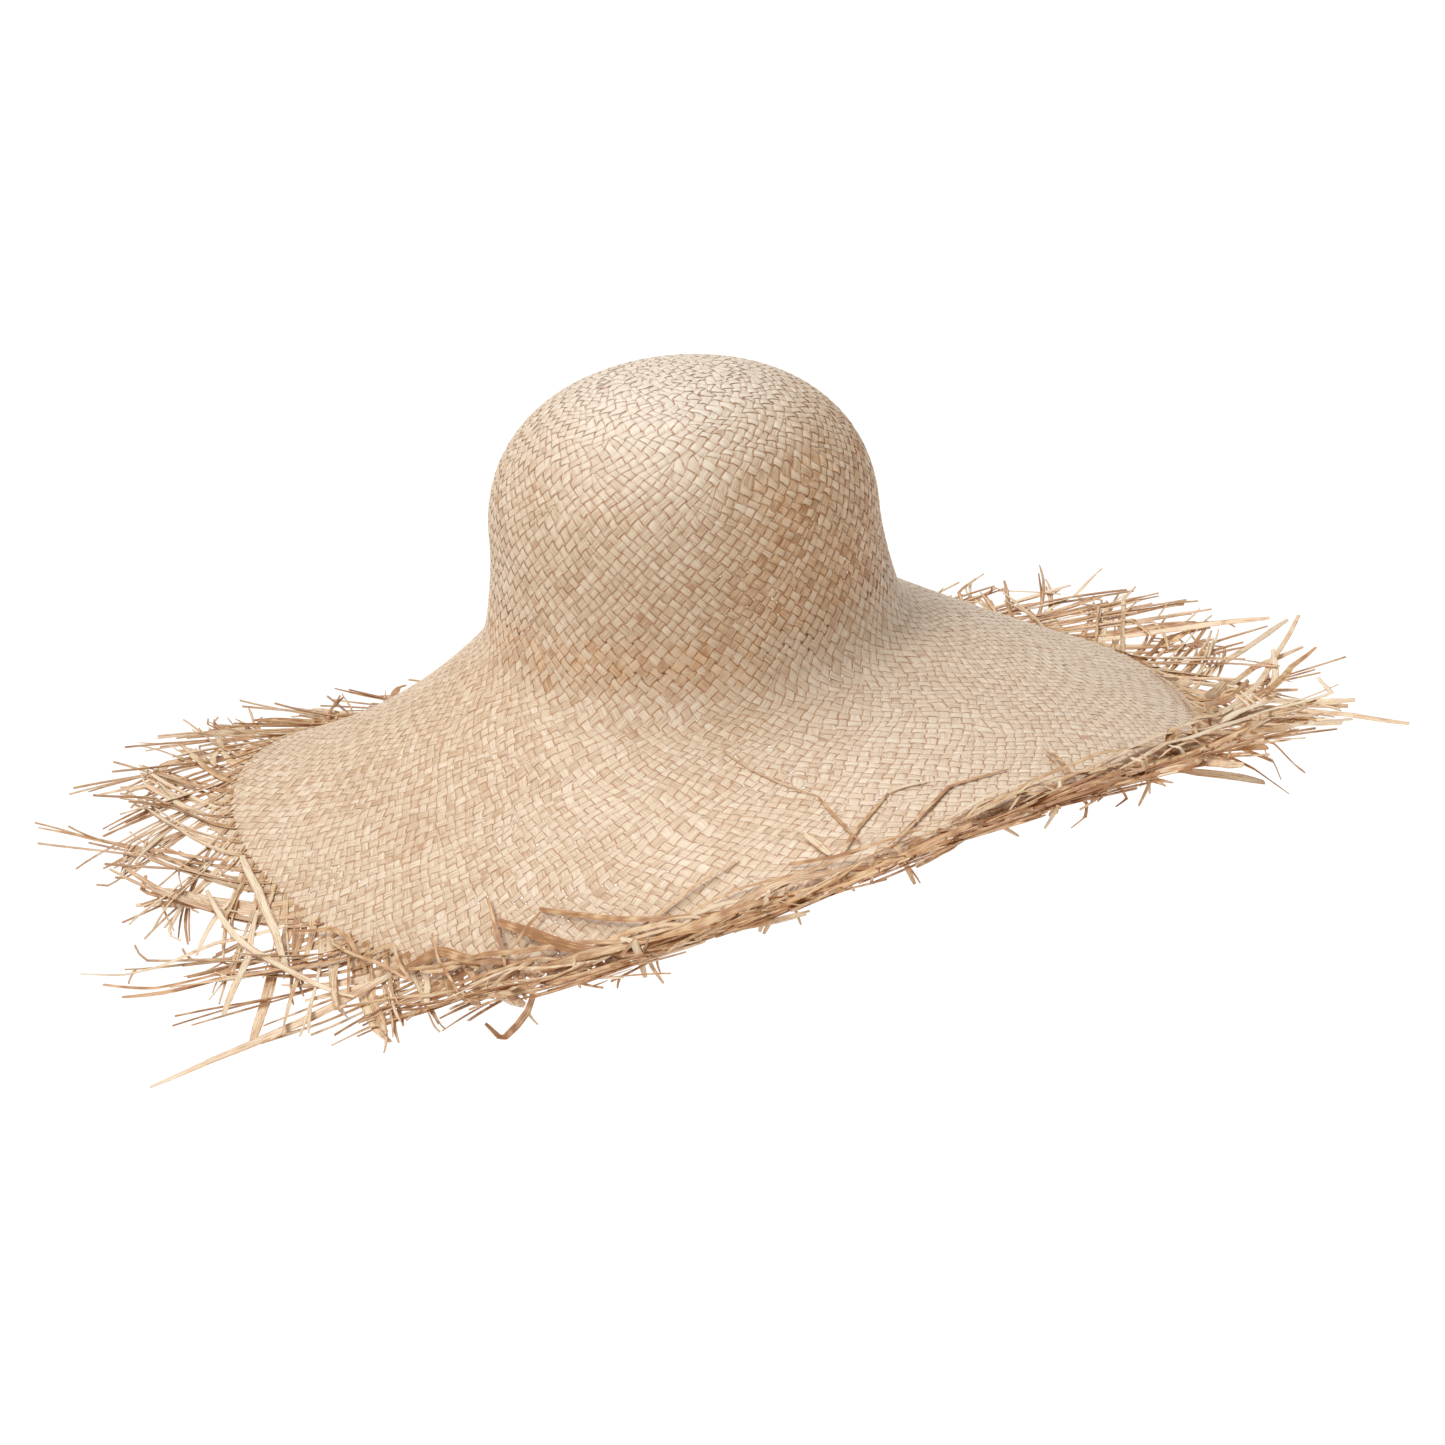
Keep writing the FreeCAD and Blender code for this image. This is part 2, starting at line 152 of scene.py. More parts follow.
class HatSurface:
    """The middle of the straw, as a grid over azimuth and the path from the tip.

    sigma is the conformal path: a strand at 45 degrees to the radial direction has
    azimuth + sigma or azimuth - sigma constant.
    """

    COLUMNS = 361
    CROWN_ROWS = 420
    BRIM_ROWS = 320

    def __init__(self):
        power = 2.0 / DOME_SQUARENESS
        turn = np.linspace(0.0, 0.5 * math.pi, 400)
        rise = CROWN_HEIGHT - DOME_BASE_HEIGHT
        wall = np.linspace(DOME_BASE_HEIGHT, JOIN_HEIGHT, 60)[1:]
        radius = np.concatenate([DOME_RADIUS * np.sin(turn) ** power, wall_radius(wall)])
        dome = DOME_BASE_HEIGHT + rise * np.maximum(np.cos(turn), 0.0) ** power
        height = np.concatenate([dome, wall])
        path = running_sum(np.hypot(np.diff(radius), np.diff(height)))
        self.crown_length = path[-1]
        even = np.linspace(0.0, self.crown_length, self.CROWN_ROWS)
        self.azimuth = np.linspace(0.0, TAU, self.COLUMNS)
        run = np.repeat(np.interp(even, path, radius)[:, None], self.COLUMNS, 1)
        level = np.repeat(np.interp(even, path, height)[:, None], self.COLUMNS, 1)
        outward = np.linspace(0.0, BRIM_LENGTH + LOOSE_LENGTH, self.BRIM_ROWS)
        slope = self.brim_slope(outward[:, None], self.azimuth[None, :])
        middle = middles(slope)
        run = np.concatenate([run, run[-1] + np.cumsum(np.cos(middle), 0) * outward[1]])
        level = np.concatenate([level, level[-1] - np.cumsum(np.sin(middle), 0) * outward[1]])
        self.path = np.concatenate([even, self.crown_length + outward[1:]])
        start = wall_radius(JOIN_HEIGHT)
        on_brim = (self.path > self.crown_length)[:, None]
        side = np.where(on_brim, run - start * (1.0 - SIDE_RATIO), run * SIDE_RATIO)
        self.side, self.front, self.level = side, run, level
        self.normal = self.normals()
        self.mean_run = 0.5 * (side + run).mean(1)
        first = int(np.searchsorted(self.mean_run, TIP_RADIUS))
        inverse = 1.0 / np.maximum(self.mean_run, 1e-6)
        growth = np.zeros_like(self.path)
        growth[1:] = middles(inverse) * np.diff(self.path)
        growth[:first] = growth[first]
        self.sigma = np.cumsum(growth)
        self.sigma -= self.sigma[first]
        self.sigma_join = self.sigma_at(self.crown_length)
        self.sigma_edge = self.sigma_at(self.crown_length + BRIM_LENGTH)
        self.sigma_end = float(self.sigma[-1])

    @staticmethod
    def brim_slope(distance, azimuth):
        """Slope below horizontal, in radians, at a distance out from the join."""
        share = np.clip(distance / BRIM_LENGTH, 0.0, 1.0)
        inner = wave(INNER_SLOPE, azimuth)
        slope = inner + (wave(OUTER_SLOPE, azimuth) - inner) * share
        slope = WALL_SLOPE + (slope - WALL_SLOPE) * smooth(distance / FLARE_LENGTH)
        past = np.maximum(distance - BRIM_LENGTH, 0.0)
        slope = slope + (fringe_slope(azimuth) - slope) * (1.0 - np.exp(-past / FRINGE_TURN))
        return np.radians(slope)

    def normals(self):
        points = round_axis(self.azimuth, self.side, self.front, self.level)
        along = np.gradient(points, self.path, axis=0)
        around = np.stack([-self.side * np.sin(self.azimuth), self.front * np.cos(self.azimuth),
                           np.gradient(self.level, self.azimuth, axis=1)], -1)
        normal = unit(np.cross(along, around))
        normal[0] = (0.0, 0.0, 1.0)
        return normal

    def sigma_at(self, path):
        return float(np.interp(path, self.path, self.sigma))

    def past_join(self, sigma):
        """Distance out from the join, negative on the crown."""
        return np.interp(sigma, self.sigma, self.path) - self.crown_length

    def sample(self, grid, azimuth, row):
        column = (azimuth % TAU) / TAU * (self.COLUMNS - 1)
        c0 = np.clip(np.floor(column).astype(int), 0, self.COLUMNS - 2)
        r0 = np.clip(np.floor(row).astype(int), 0, len(self.path) - 2)
        across, down = column - c0, row - r0
        if grid.ndim == 3:
            across, down = across[..., None], down[..., None]
        top = grid[r0, c0] * (1 - across) + grid[r0, c0 + 1] * across
        low = grid[r0 + 1, c0] * (1 - across) + grid[r0 + 1, c0 + 1] * across
        return top * (1 - down) + low * down

    def place(self, azimuth, sigma, lift):
        """Points lift above the middle of the straw."""
        row = np.interp(sigma, self.sigma, np.arange(len(self.path)))
        side, front, level, normal = (self.sample(grid, azimuth, row)
                                      for grid in (self.side, self.front, self.level, self.normal))
        depth = lift - 0.5 * STRAW_THICKNESS + 0.0 * azimuth
        return round_axis(azimuth, side, front, level) + normal * depth[..., None]


surface = HatSurface()
EDGE_RADIUS = float(np.interp(surface.sigma_edge, surface.sigma, surface.mean_run))


def fringe_place(azimuth, reach, lift):
    """Points reach beyond the woven edge, lift above the middle of the fringe."""
    edge = surface.place(azimuth, np.full_like(azimuth, surface.sigma_edge), np.zeros_like(azimuth))
    inner = wave(OUTER_SLOPE, azimuth)
    outer = fringe_slope(azimuth)
    turns = np.maximum(reach, 1e-6) / FRINGE_TURN
    share = np.where(reach > 0.0, (1.0 - np.exp(-turns)) / turns, 1.0)
    slope = np.radians(outer + (inner - outer) * share)
    outwards = reach * np.cos(slope) + lift * np.sin(slope)
    upwards = lift * np.cos(slope) - reach * np.sin(slope)
    return edge + round_axis(azimuth, outwards, outwards, upwards)


# ---- straws as meshes --------------------------------------------------------------
ACROSS = np.array([-1.0, 0.0, 1.0, 0.0])    # left edge, upper face, right edge, underside


class Straws:
    """Collects straws of a flat lens section into one mesh.

    Each point carries its tone, its tint (orange-brown up to 1, which is stain in places and
    painted warm shade in others; paler below 0, which is a painted sheen) and its place in the
    straw's own grain: millimetres along, -1 to 1 across, and a number.
    """

    def __init__(self, name):
        self.name = name
        self.points, self.faces, self.ends = [], [], []
        self.tones, self.stains, self.grains = [], [], []
        self.count = 0

    def add(self, rails, tone, stain, number):
        """rails: stations x 4 corners x 3; tone: one number; tint, which carries stain and painted light:
        one per station.
        """
        stations = len(rails)
        index = self.count + np.arange(stations * 4).reshape(stations, 4)
        quads = []
        for a in range(4):
            b = (a + 1) % 4
            quads.append(np.stack([index[:-1, a], index[1:, a], index[1:, b], index[:-1, b]], -1))
        quads.append(np.array([index[0], index[-1, ::-1]]))
        quads = np.concatenate(quads)
        half = stations // 2
        ahead = rails[half, 1] - rails[half - 1, 1]
        sideways = rails[half, 2] - rails[half, 0]
        if np.dot(np.cross(ahead, sideways), rails[half, 1] - rails[half, 3]) < 0.0:
            quads = quads[:, ::-1]
        middle = 0.5 * (rails[:, 1] + rails[:, 3])
        run = running_sum(np.linalg.norm(np.diff(middle, axis=0), axis=1))
        grain = np.stack([np.repeat(run / MM, 4), np.tile(ACROSS, stations),
                          np.full(stations * 4, number)], -1)
        self.points.append(rails.reshape(-1, 3))
        self.faces.append(quads)
        self.tones.append(np.full(stations * 4, tone))
        self.stains.append(np.repeat(stain, 4))
        self.grains.append(grain)
        at_end = np.zeros((stations, 4), dtype=bool)
        at_end[[0, -1]] = True
        self.ends.append(at_end.ravel())
        self.count += stations * 4

    def finish(self, material, slot, *nodes):
        points, quads = np.concatenate(self.points), np.concatenate(self.faces)
        grain = np.concatenate(self.grains)
        mesh = bpy.data.meshes.new(self.name)
        mesh.vertices.add(len(points))
        mesh.vertices.foreach_set("co", points.astype(np.float32).ravel())
        mesh.loops.add(len(quads) * 4)
        mesh.loops.foreach_set("vertex_index", quads.astype(np.int32).ravel())
        mesh.polygons.add(len(quads))
        mesh.polygons.foreach_set("loop_start", np.arange(0, len(quads) * 4, 4, dtype=np.int32))
        mesh.update(calc_edges=True)
        add_attribute(mesh, "tone", np.concatenate(self.tones))
        add_attribute(mesh, "stain", np.concatenate(self.stains))
        add_attribute(mesh, "grain", grain)
        shade_smooth(mesh)
        ends = np.empty(len(mesh.edges) * 2, dtype=np.int32)
        mesh.edges.foreach_get("vertices", ends)
        sharp = np.zeros(len(mesh.edges), dtype=bool)
        for crease in (np.abs(grain[:, 1]) > 0.99, np.concatenate(self.ends)):
            sharp |= crease[ends[0::2]] & crease[ends[1::2]]
        mesh.attributes.new("sharp_edge", "BOOLEAN", "EDGE").data.foreach_set("value", sharp)
        return make_piece(self.name, mesh, material, slot, *nodes)


def add_object(name, data):
    made = bpy.data.objects.new(name, data)
    bpy.context.scene.collection.objects.link(made)
    return made


def add_attribute(mesh, name, values):
    """One number, or one vector, for each point of a mesh."""
    values = np.asarray(values, np.float32)
    kind, field = ("FLOAT", "value") if values.ndim == 1 else ("FLOAT_VECTOR", "vector")
    mesh.attributes.new(name, kind, "POINT").data.foreach_set(field, values.ravel())


def shade_smooth(mesh):
    mesh.polygons.foreach_set("use_smooth", np.ones(len(mesh.polygons), dtype=bool))


def make_piece(name, mesh, material, slot, *nodes):
    piece = add_object(name, mesh)
    mesh.materials.append(material)
    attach(piece, "root")
    if nodes:
        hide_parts(*nodes)
    return piece


def lens_rails(middle, up, width, thickness):
    """Corners of a lens section along one or many straws; arrays ... x stations x 3."""
    ahead = unit(np.gradient(middle, axis=-2))
    sideways = unit(np.cross(ahead, up))
    up = np.cross(sideways, ahead)
    sideways = sideways * (0.5 * width)[..., None]
    up = up * (0.5 * thickness)[..., None]
    return np.stack([middle - sideways, middle + up, middle + sideways, middle - up], -2)


# ---- materials ---------------------------------------------------------------------
class Paint:
    """A material built from nodes; links and settings are given by name."""

    def __init__(self, name):
        self.material = bpy.data.materials.new(name)
        self.material.use_nodes = True
        self.tree = self.material.node_tree
        self.shader = self.tree.nodes["Principled BSDF"]

    def node(self, kind, settings=(), output=0, **inputs):
        made = self.tree.nodes.new("ShaderNode" + kind)
        for key, value in dict(settings).items():
            setattr(made, key, value)
        for key, value in inputs.items():
            self.feed(made.inputs[int(key[1:])] if key[0] == "i" and key[1:].isdigit()
                      else made.inputs[key.replace("_", " ")], value)
        return made.outputs[output]

    def feed(self, socket, value):
        if isinstance(value, bpy.types.NodeSocket):
            self.tree.links.new(value, socket)
        else:
            socket.default_value = value

    def math(self, operation, a, b=0.0, c=0.0):
        return self.node("Math", {"operation": operation}, i0=a, i1=b, i2=c)

    def times(self, a, b):
        return self.math("MULTIPLY", a, b)

    def plus(self, a, b):
        return self.math("ADD", a, b)

    def scaled(self, value, scale, offset):
        return self.math("MULTIPLY_ADD", value, scale, offset)

    def give(self, **inputs):
        """Set or link the shader's inputs; an underscore stands for a space."""
        for key, value in inputs.items():
            self.feed(self.shader.inputs[key.replace("_", " ")], value)

    def attribute(self, name, output="Fac"):
        return self.node("Attribute", {"attribute_name": name}, output)

    def grain(self):
        """Places in the grain: along, across and the straw's own number."""
        vector = self.attribute("grain", "Vector")
        return [self.node("SeparateXYZ", output=axis, Vector=vector) for axis in "XYZ"]

    def noise(self, x, y, z, detail=2.0):
        vector = self.node("CombineXYZ", X=x, Y=y, Z=z)
        return self.node("TexNoise", Vector=vector, Scale=1.0, Detail=detail)

    def ramp(self, factor, *stops):
        made = self.tree.nodes.new("ShaderNodeValToRGB")
        self.tree.links.new(factor, made.inputs["Fac"])
        elements = made.color_ramp.elements
        while len(elements) < len(stops):
            elements.new(1.0)
        for element, (position, colour) in zip(elements, stops):
            element.position = position
            element.color = (*colour, 1.0)
        return made.outputs["Color"]

    def mix(self, factor, a, b):
        return self.node("Mix", {"data_type": "RGBA"}, "Result", Factor=factor, A=a, B=b)

    def range(self, value, low, high, to_low=0.0, to_high=1.0):
        return self.node("MapRange", {"interpolation_type": "SMOOTHSTEP"}, "Result", Value=value,
                         From_Min=low, From_Max=high, To_Min=to_low, To_Max=to_high)

    def bump(self, height, distance, strength):
        self.give(Normal=self.node("Bump", Height=height, Distance=distance, Strength=strength))


def raffia(name, plain, golden, grain_shares, tone_share, crease_shade_share, glow):
    """Raffia: fibres along each strand, brown broken lines at its edges that paint the shade in the
    creases, odd brown cells.

    plain and golden are its shadow, middle and pale colours: golden serves stained straw and
    painted warm shade alike. glow is the share of light that passes into the straw.
    """
    paint = Paint(name)
    along, across, number = paint.grain()
    seed = paint.times(number, 3.7)

    def layer(density, place_across, apart, detail=2.0):
        """Noise along the straw, set apart from the other layers."""
        return paint.noise(paint.times(along, density), place_across, paint.plus(seed, apart), detail)

    fine = layer(0.25, paint.times(across, 12.0), 0.0)
    streak = layer(0.07, paint.times(across, 3.2), 40.0)
    slow = layer(0.035, 0.0, 80.0, 1.0)
    cell = layer(0.16, 7.0, 200.0, 0.0)
    # Browner part of the tint: stain, and painted warm shade on the crown's right and at the fringe's
    # roots.
    stain_and_warm_shade = paint.math("MAXIMUM", paint.attribute("stain"), 0.0)
    # Cells differ more in tone where the straw is browner: partly painted relief shade on the crown's
    # right.
    shares = (*grain_shares, paint.scaled(stain_and_warm_shade, 3.2, 0.15))
    factor = paint.scaled(paint.attribute("tone"), tone_share, 0.5)
    for source, share in zip((fine, streak, slow, cell), shares):
        factor = paint.scaled(paint.math("SUBTRACT", source, 0.5), share, factor)
    colour = paint.ramp(factor, *zip(RAMP_STOPS, plain))
    # Golden colours stand for stained straw and for painted warm shade alike.
    warmed = paint.ramp(factor, *zip(RAMP_STOPS, golden))
    colour = paint.mix(paint.range(stain_and_warm_shade, 0.0, 0.42), colour, warmed)
    # Painted sheen: a negative tint pales the straw towards a whitish sheen colour.
    painted_sheen = paint.math("MAXIMUM", paint.times(paint.attribute("stain"), -1.0), 0.0)
    colour = paint.mix(painted_sheen, colour, (*SHEEN_COLOUR, 1.0))
    odd = paint.range(layer(0.11, 3.0, 120.0, 0.0), 0.73, 0.80, 0.0, 0.5)
    # Painted shade: broken brown lines along each straw's edges stand in for the shade in the creases
    # between strands, deeper where the straw is browner.
    rim = paint.range(paint.math("ABSOLUTE", across), 0.60, 0.92)
    crease_shade_dashes = layer(0.30, paint.times(across, 2.0), 160.0)
    edge = paint.times(rim, paint.range(crease_shade_dashes, 0.38, 0.58, 0.15, crease_shade_share))
    edge = paint.times(edge, paint.scaled(stain_and_warm_shade, 1.2, 1.0))
    stain = paint.times(stain_and_warm_shade, paint.range(streak, 0.30, 0.70, 0.15, 0.75))
    amount = paint.math("MINIMUM", paint.math("MAXIMUM", paint.math("MAXIMUM", odd, edge), stain), 1.0)
    paint.give(Base_Color=paint.mix(amount, colour, (*BROWN, 1.0)),
               Roughness=paint.range(streak, 0.2, 0.8, 0.42, 0.60), Specular_IOR_Level=0.75,
               Subsurface_Weight=glow, Subsurface_Radius=(1.0, 0.5, 0.25),
               Subsurface_Scale=1.0 * MM)
    paint.bump(paint.plus(fine, streak), 0.10 * MM, 0.55)
    return paint.material


def grosgrain():
    """Cream ribbon: ribs across its width, faint shine on each, partly a painted highlight in its colour.
    """
    paint = Paint("grosgrain_ribbon")
    x, y, z = paint.grain()
    rib = paint.math("SINE", paint.times(x, TAU / 1.1))
    threads = paint.noise(paint.times(x, 2.0), paint.times(y, 6.0), z)
    # Painted highlight: each rib's colour is a little lighter at its crest.
    factor = paint.scaled(rib, 0.18, threads)
    colour = paint.ramp(factor, (0.2, (0.56, 0.47, 0.34)), (0.8, (0.76, 0.69, 0.56)))
    paint.give(Base_Color=colour, Roughness=0.75, Sheen_Weight=0.25)
    paint.bump(paint.plus(rib, threads), 0.08 * MM, 0.6)
    return paint.material


def tape(name, base, light):
    """Satin label tape or thread: fine floats along, cut by finer ones across."""
    paint = Paint(name)
    x, y, z = paint.grain()
    floats = paint.noise(paint.times(x, 1.2), paint.times(y, 7.0), z)
    weft = paint.math("SINE", paint.times(paint.plus(x, y), TAU * 1.6))
    factor = paint.scaled(weft, 0.12, floats)
    colour = paint.ramp(factor, (0.25, base), (0.75, light))
    paint.give(Base_Color=colour, Roughness=0.5, Sheen_Weight=0.15)
    paint.bump(factor, 0.05 * MM, 0.5)
    return paint.material


BROWN = (0.42, 0.175, 0.055)
# Whitish colour of the painted sheen on the dome and on the right of the brim.
SHEEN_COLOUR = (0.93, 0.87, 0.77)
RAMP_STOPS = (0.12, 0.5, 0.88)
woven_raffia = raffia("woven_raffia", ((0.50, 0.31, 0.165), (0.72, 0.55, 0.38), (0.86, 0.73, 0.57)),
                      ((0.44, 0.215, 0.085), (0.78, 0.51, 0.28), (0.92, 0.74, 0.52)),
                      (0.9, 1.1, 0.6), 0.065, 0.95, 0.0)
loose_raffia = raffia("loose_raffia", ((0.42, 0.21, 0.085), (0.67, 0.465, 0.275), (0.85, 0.71, 0.52)),
                      ((0.34, 0.15, 0.05), (0.64, 0.385, 0.175), (0.84, 0.64, 0.40)),
                      (1.5, 1.8, 0.8), 0.23, 0.8, 0.25)
ribbon_paint = grosgrain()
label_paint = tape("label_tape", (0.68, 0.64, 0.56), (0.84, 0.81, 0.74))
thread_paint = tape("sewing_thread", (0.62, 0.55, 0.43), (0.80, 0.74, 0.62))


# ---- the weave ---------------------------------------------------------------------
class StrandFamily:
    """One family of strands: a cyclic list whose members are born in pairs."""

    ROWS = 900

    def __init__(self, seed):
        draw = np.random.default_rng(seed)
        self.sigma = np.linspace(0.0, surface.sigma_end, self.ROWS)
        radius = np.interp(np.minimum(self.sigma, surface.sigma_edge), surface.sigma, surface.mean_run)
        wanted = TAU * radius * math.cos(math.pi / 4.0) / STRAND_PITCH
        pairs = int(math.ceil(wanted[-1] / 2.0))
        order = np.arange(pairs)
        golden = (order * 0.6180339887 + 0.11 * draw.random()) % 1.0
        golden += draw.uniform(-0.3, 0.3, pairs) / np.maximum(order, 4)
        golden %= 1.0
        first_pairs = int(round(wanted[0] / 2.0))
        span = PAIR_RAMP + 0.08 * wanted
        share = smooth((wanted - 2.0 * order[:, None] + 0.5 * span) / span)
        share[:first_pairs] = 1.0
        place = np.argsort(golden)
        share = np.repeat(share[place], 2, axis=0)
        share *= draw.uniform(0.84, 1.16, len(share))[:, None]
        self.share = share
        self.count = len(share)
        edges = running_sum(share)
        self.total = edges[-1].copy()
        self.edges = edges / self.total * TAU
        home = np.repeat(golden[place], 2) * TAU
        self.drift = ((middles(self.edges) - home[:, None]) * share).sum(0) / self.total
        self.tone = draw.normal(0.0, 1.0, self.count)

    def along(self, strand, sigma):
        """Middle angle and half width in angle of one strand at each sigma."""
        drift = np.interp(sigma, self.sigma, self.drift)
        low = np.interp(sigma, self.sigma, self.edges[strand])
        high = np.interp(sigma, self.sigma, self.edges[strand + 1])
        return 0.5 * (low + high) - drift, 0.5 * (high - low)

    def phase(self, angle, sigma):
        """Which strand covers an angle: j at the middle of strand j."""
        row = np.round(sigma / self.sigma[-1] * (self.ROWS - 1)).astype(int)
        row = np.clip(row, 0, self.ROWS - 1)
        turned = (angle + self.drift[row]) % TAU
        result = np.empty_like(turned)
        index = np.arange(self.count + 1) - 0.5
        for r in np.unique(row):
            here = row == r
            result[here] = np.interp(turned[here], self.edges[:, r], index)
        return result


def wander(azimuth, sigma):
    """Slow hand-made drift of the strands, in angle."""
    return (0.010 * np.sin(3 * azimuth + 5.1 * sigma) + 0.006 * np.sin(7 * azimuth - 9.0 * sigma)
            + 0.004 * np.sin(13 * azimuth + 15.0 * sigma))


def cover(azimuth, sigma, strand):
    """How much of its share a strand's width fills: less where the weave gapes."""
    past = surface.past_join(sigma)
    patches = np.sin(5.0 * azimuth + 11.0 * sigma) * np.sin(3.0 * azimuth - 17.0 * sigma + 1.3)
    spots = np.sin(29.0 * azimuth + 37.0 * sigma) * np.sin(23.0 * azimuth - 41.0 * sigma + 0.7)
    side = smooth(np.cos(azimuth - math.radians(CROWN_GAPE)) * 1.8 - 0.8) * smooth(-past / (20.0 * MM))
    turn = np.exp(-((past + 8.0 * MM) / (15.0 * MM)) ** 2)
    front = smooth(np.cos(azimuth - math.radians(BRIM_GAPE)) * 2.2 - 0.9) * smooth(past / (40.0 * MM))
    holes = smooth((spots - 0.28) / 0.42) * (0.12 + 0.88 * np.maximum(side, turn) + 0.50 * front)
    gape = 0.02 + 0.060 * smooth(patches * 2.2 - 0.6) + 0.28 * holes * smooth(0.60 + patches)
    gape = gape + 0.055 * side
    gape = gape + 0.42 * smooth((past - BRIM_LENGTH + 7.0 * MM) / (16.0 * MM))
    return 1.0 - gape + 0.028 * np.sin(strand * 1.7 + 9.0 * sigma)


def relief(sigma):
    """How far a strand swings to either side of the straw's middle."""
    return WEAVE_SWING * (1.0 + CROWN_RELIEF * smooth(-surface.past_join(sigma) / (25.0 * MM)))


def swing_shape(phase):
    """Rise and fall over whole crossings, flattened at the top and at the bottom."""
    return np.tanh(SWING_FLATNESS * np.cos(math.pi * phase)) / math.tanh(SWING_FLATNESS)


def weave_stain_and_painted_light(azimuth, sigma, draw):
    """Browner straw at the turn to the brim, on the crown's right and at the edge, and
    paler straw on the dome and on the right of the brim. On the crown's right the brown is
    partly a stain and partly painted warm shade; the paler straw is a painted sheen."""
    past = surface.past_join(sigma)
    turn = np.exp(-((past + 2.0 * MM) / (14.0 * MM)) ** 2)
    right = smooth(np.cos(azimuth - math.radians(BROWN_SIDE)) * 1.6 - 0.3)
    low = smooth(-past / (25.0 * MM))
    wall = low * (1.0 - smooth((-past - 55.0 * MM) / (75.0 * MM)))
    edge = smooth((past - BRIM_LENGTH + 4.0 * MM) / (12.0 * MM))
    # On the crown's right the brown is partly a stain and partly painted warm shade, for the side away
    # from the key lamp.
    stain_and_warm_shade = turn * (0.10 + 0.25 * draw) + (0.20 + 0.26 * draw) * right * wall
    stain_and_warm_shade = stain_and_warm_shade + 0.4 * edge * (0.3 + draw)
    # Painted sheen: the dome and the right of the brim are paled, for the sheen that light from above
    # gives them.
    painted_sheen = DOME_SHEEN * smooth((-past - 60.0 * MM) / (80.0 * MM))
    painted_sheen = painted_sheen + BRIM_SHEEN * right * (1.0 - low)
    return np.clip(stain_and_warm_shade - painted_sheen, -0.7, 0.8)


def weave(straws, mine, other, lean, strands, sigma_from, sigma_to, seed):
    """Some strands of one family between two rings, each over one and under one."""
    draw = np.random.default_rng(seed)
    samples = np.linspace(sigma_from, sigma_to, 400)
    total = np.interp(samples, mine.sigma, mine.total)
    crossings = running_sum(middles(total) / math.pi * np.diff(samples))
    stations = max(int(crossings[-1] * SAMPLES_PER_CROSSING / COARSE), 8)
    every = np.interp(np.linspace(0.0, crossings[-1], stations + 1), crossings, samples)
    loose = sigma_to > surface.sigma_edge
    for strand in strands:
        stop = draw.uniform(surface.sigma_edge + 0.004, surface.sigma_end) if loose else sigma_to
        tint_draw = draw.random() ** 2
        share = np.interp(every, mine.sigma, mine.share[strand])
        sigma = every[(share > LEAST_SHARE) & (every <= stop + 1e-9)]
        if len(sigma) < 4:
            continue
        half = mine.along(strand, sigma)[1]
        taper = np.ones(len(sigma))
        if sigma[0] > every[0]:
            taper = np.clip(np.arange(len(sigma)) / BIRTH_STATIONS, 0.15, 1.0)
        if loose:
            left = len(sigma) - np.arange(len(sigma))
            taper = taper * np.clip(left / END_STATIONS, 0.40, 1.0)
        corners = []
        middle_angle = lean * sigma + mine.along(strand, sigma)[0]
        width = cover(middle_angle, sigma, strand) * taper
        for side, crown in ((-1.0, 0.0), (0.0, 1.0), (1.0, 0.0), (0.0, -1.0)):
            here = np.clip(sigma - 0.5 * lean * side * half * width, 0.0, surface.sigma_end)
            middle, reach = mine.along(strand, here)
            azimuth = lean * here + middle + side * reach * width
            phase = other.phase(azimuth + lean * here, here)
            swing = (-1.0) ** strand * lean * relief(here) * swing_shape(phase)
            lift = swing + crown * STRAND_CROWN * taper
            corners.append(surface.place(azimuth + wander(azimuth, here), here, lift))
        stain = weave_stain_and_painted_light(middle_angle, sigma, tint_draw)
        straws.add(np.stack(corners, 1), mine.tone[strand], stain, strand * 3.37 + 1.7 * lean)


# Seeds of the random draws; a brim part adds its number and a fringe family its lean.
LEFT_SEED, RIGHT_SEED, CROWN_SEED, BRIM_SEED = 3, 4, 31, 37
SQUARE_SEED, FRINGE_SEED, STRAY_SEED, FORK_SEED, STITCH_SEED = 12, 50, 64, 8, 77

FAMILIES = (("left", StrandFamily(LEFT_SEED), 1.0), ("right", StrandFamily(RIGHT_SEED), -1.0))


def make_weave():
    for (side, mine, lean), (_, other, _) in zip(FAMILIES, reversed(FAMILIES)):
        straws = Straws("crown_weave_%s_lean" % side)
        weave(straws, mine, other, lean, range(mine.count), 0.0, surface.sigma_join, CROWN_SEED)
        straws.finish(woven_raffia, "woven_raffia", "crown")
        for part in range(BRIM_PARTS):
            strands = range(part * mine.count // BRIM_PARTS, (part + 1) * mine.count // BRIM_PARTS)
            straws = Straws("brim_weave_%s_lean_%d" % (side, part + 1))
            weave(straws, mine, other, lean, strands, surface.sigma_join, surface.sigma_end,
                  BRIM_SEED + part)
            straws.finish(woven_raffia, "woven_raffia", "brim")


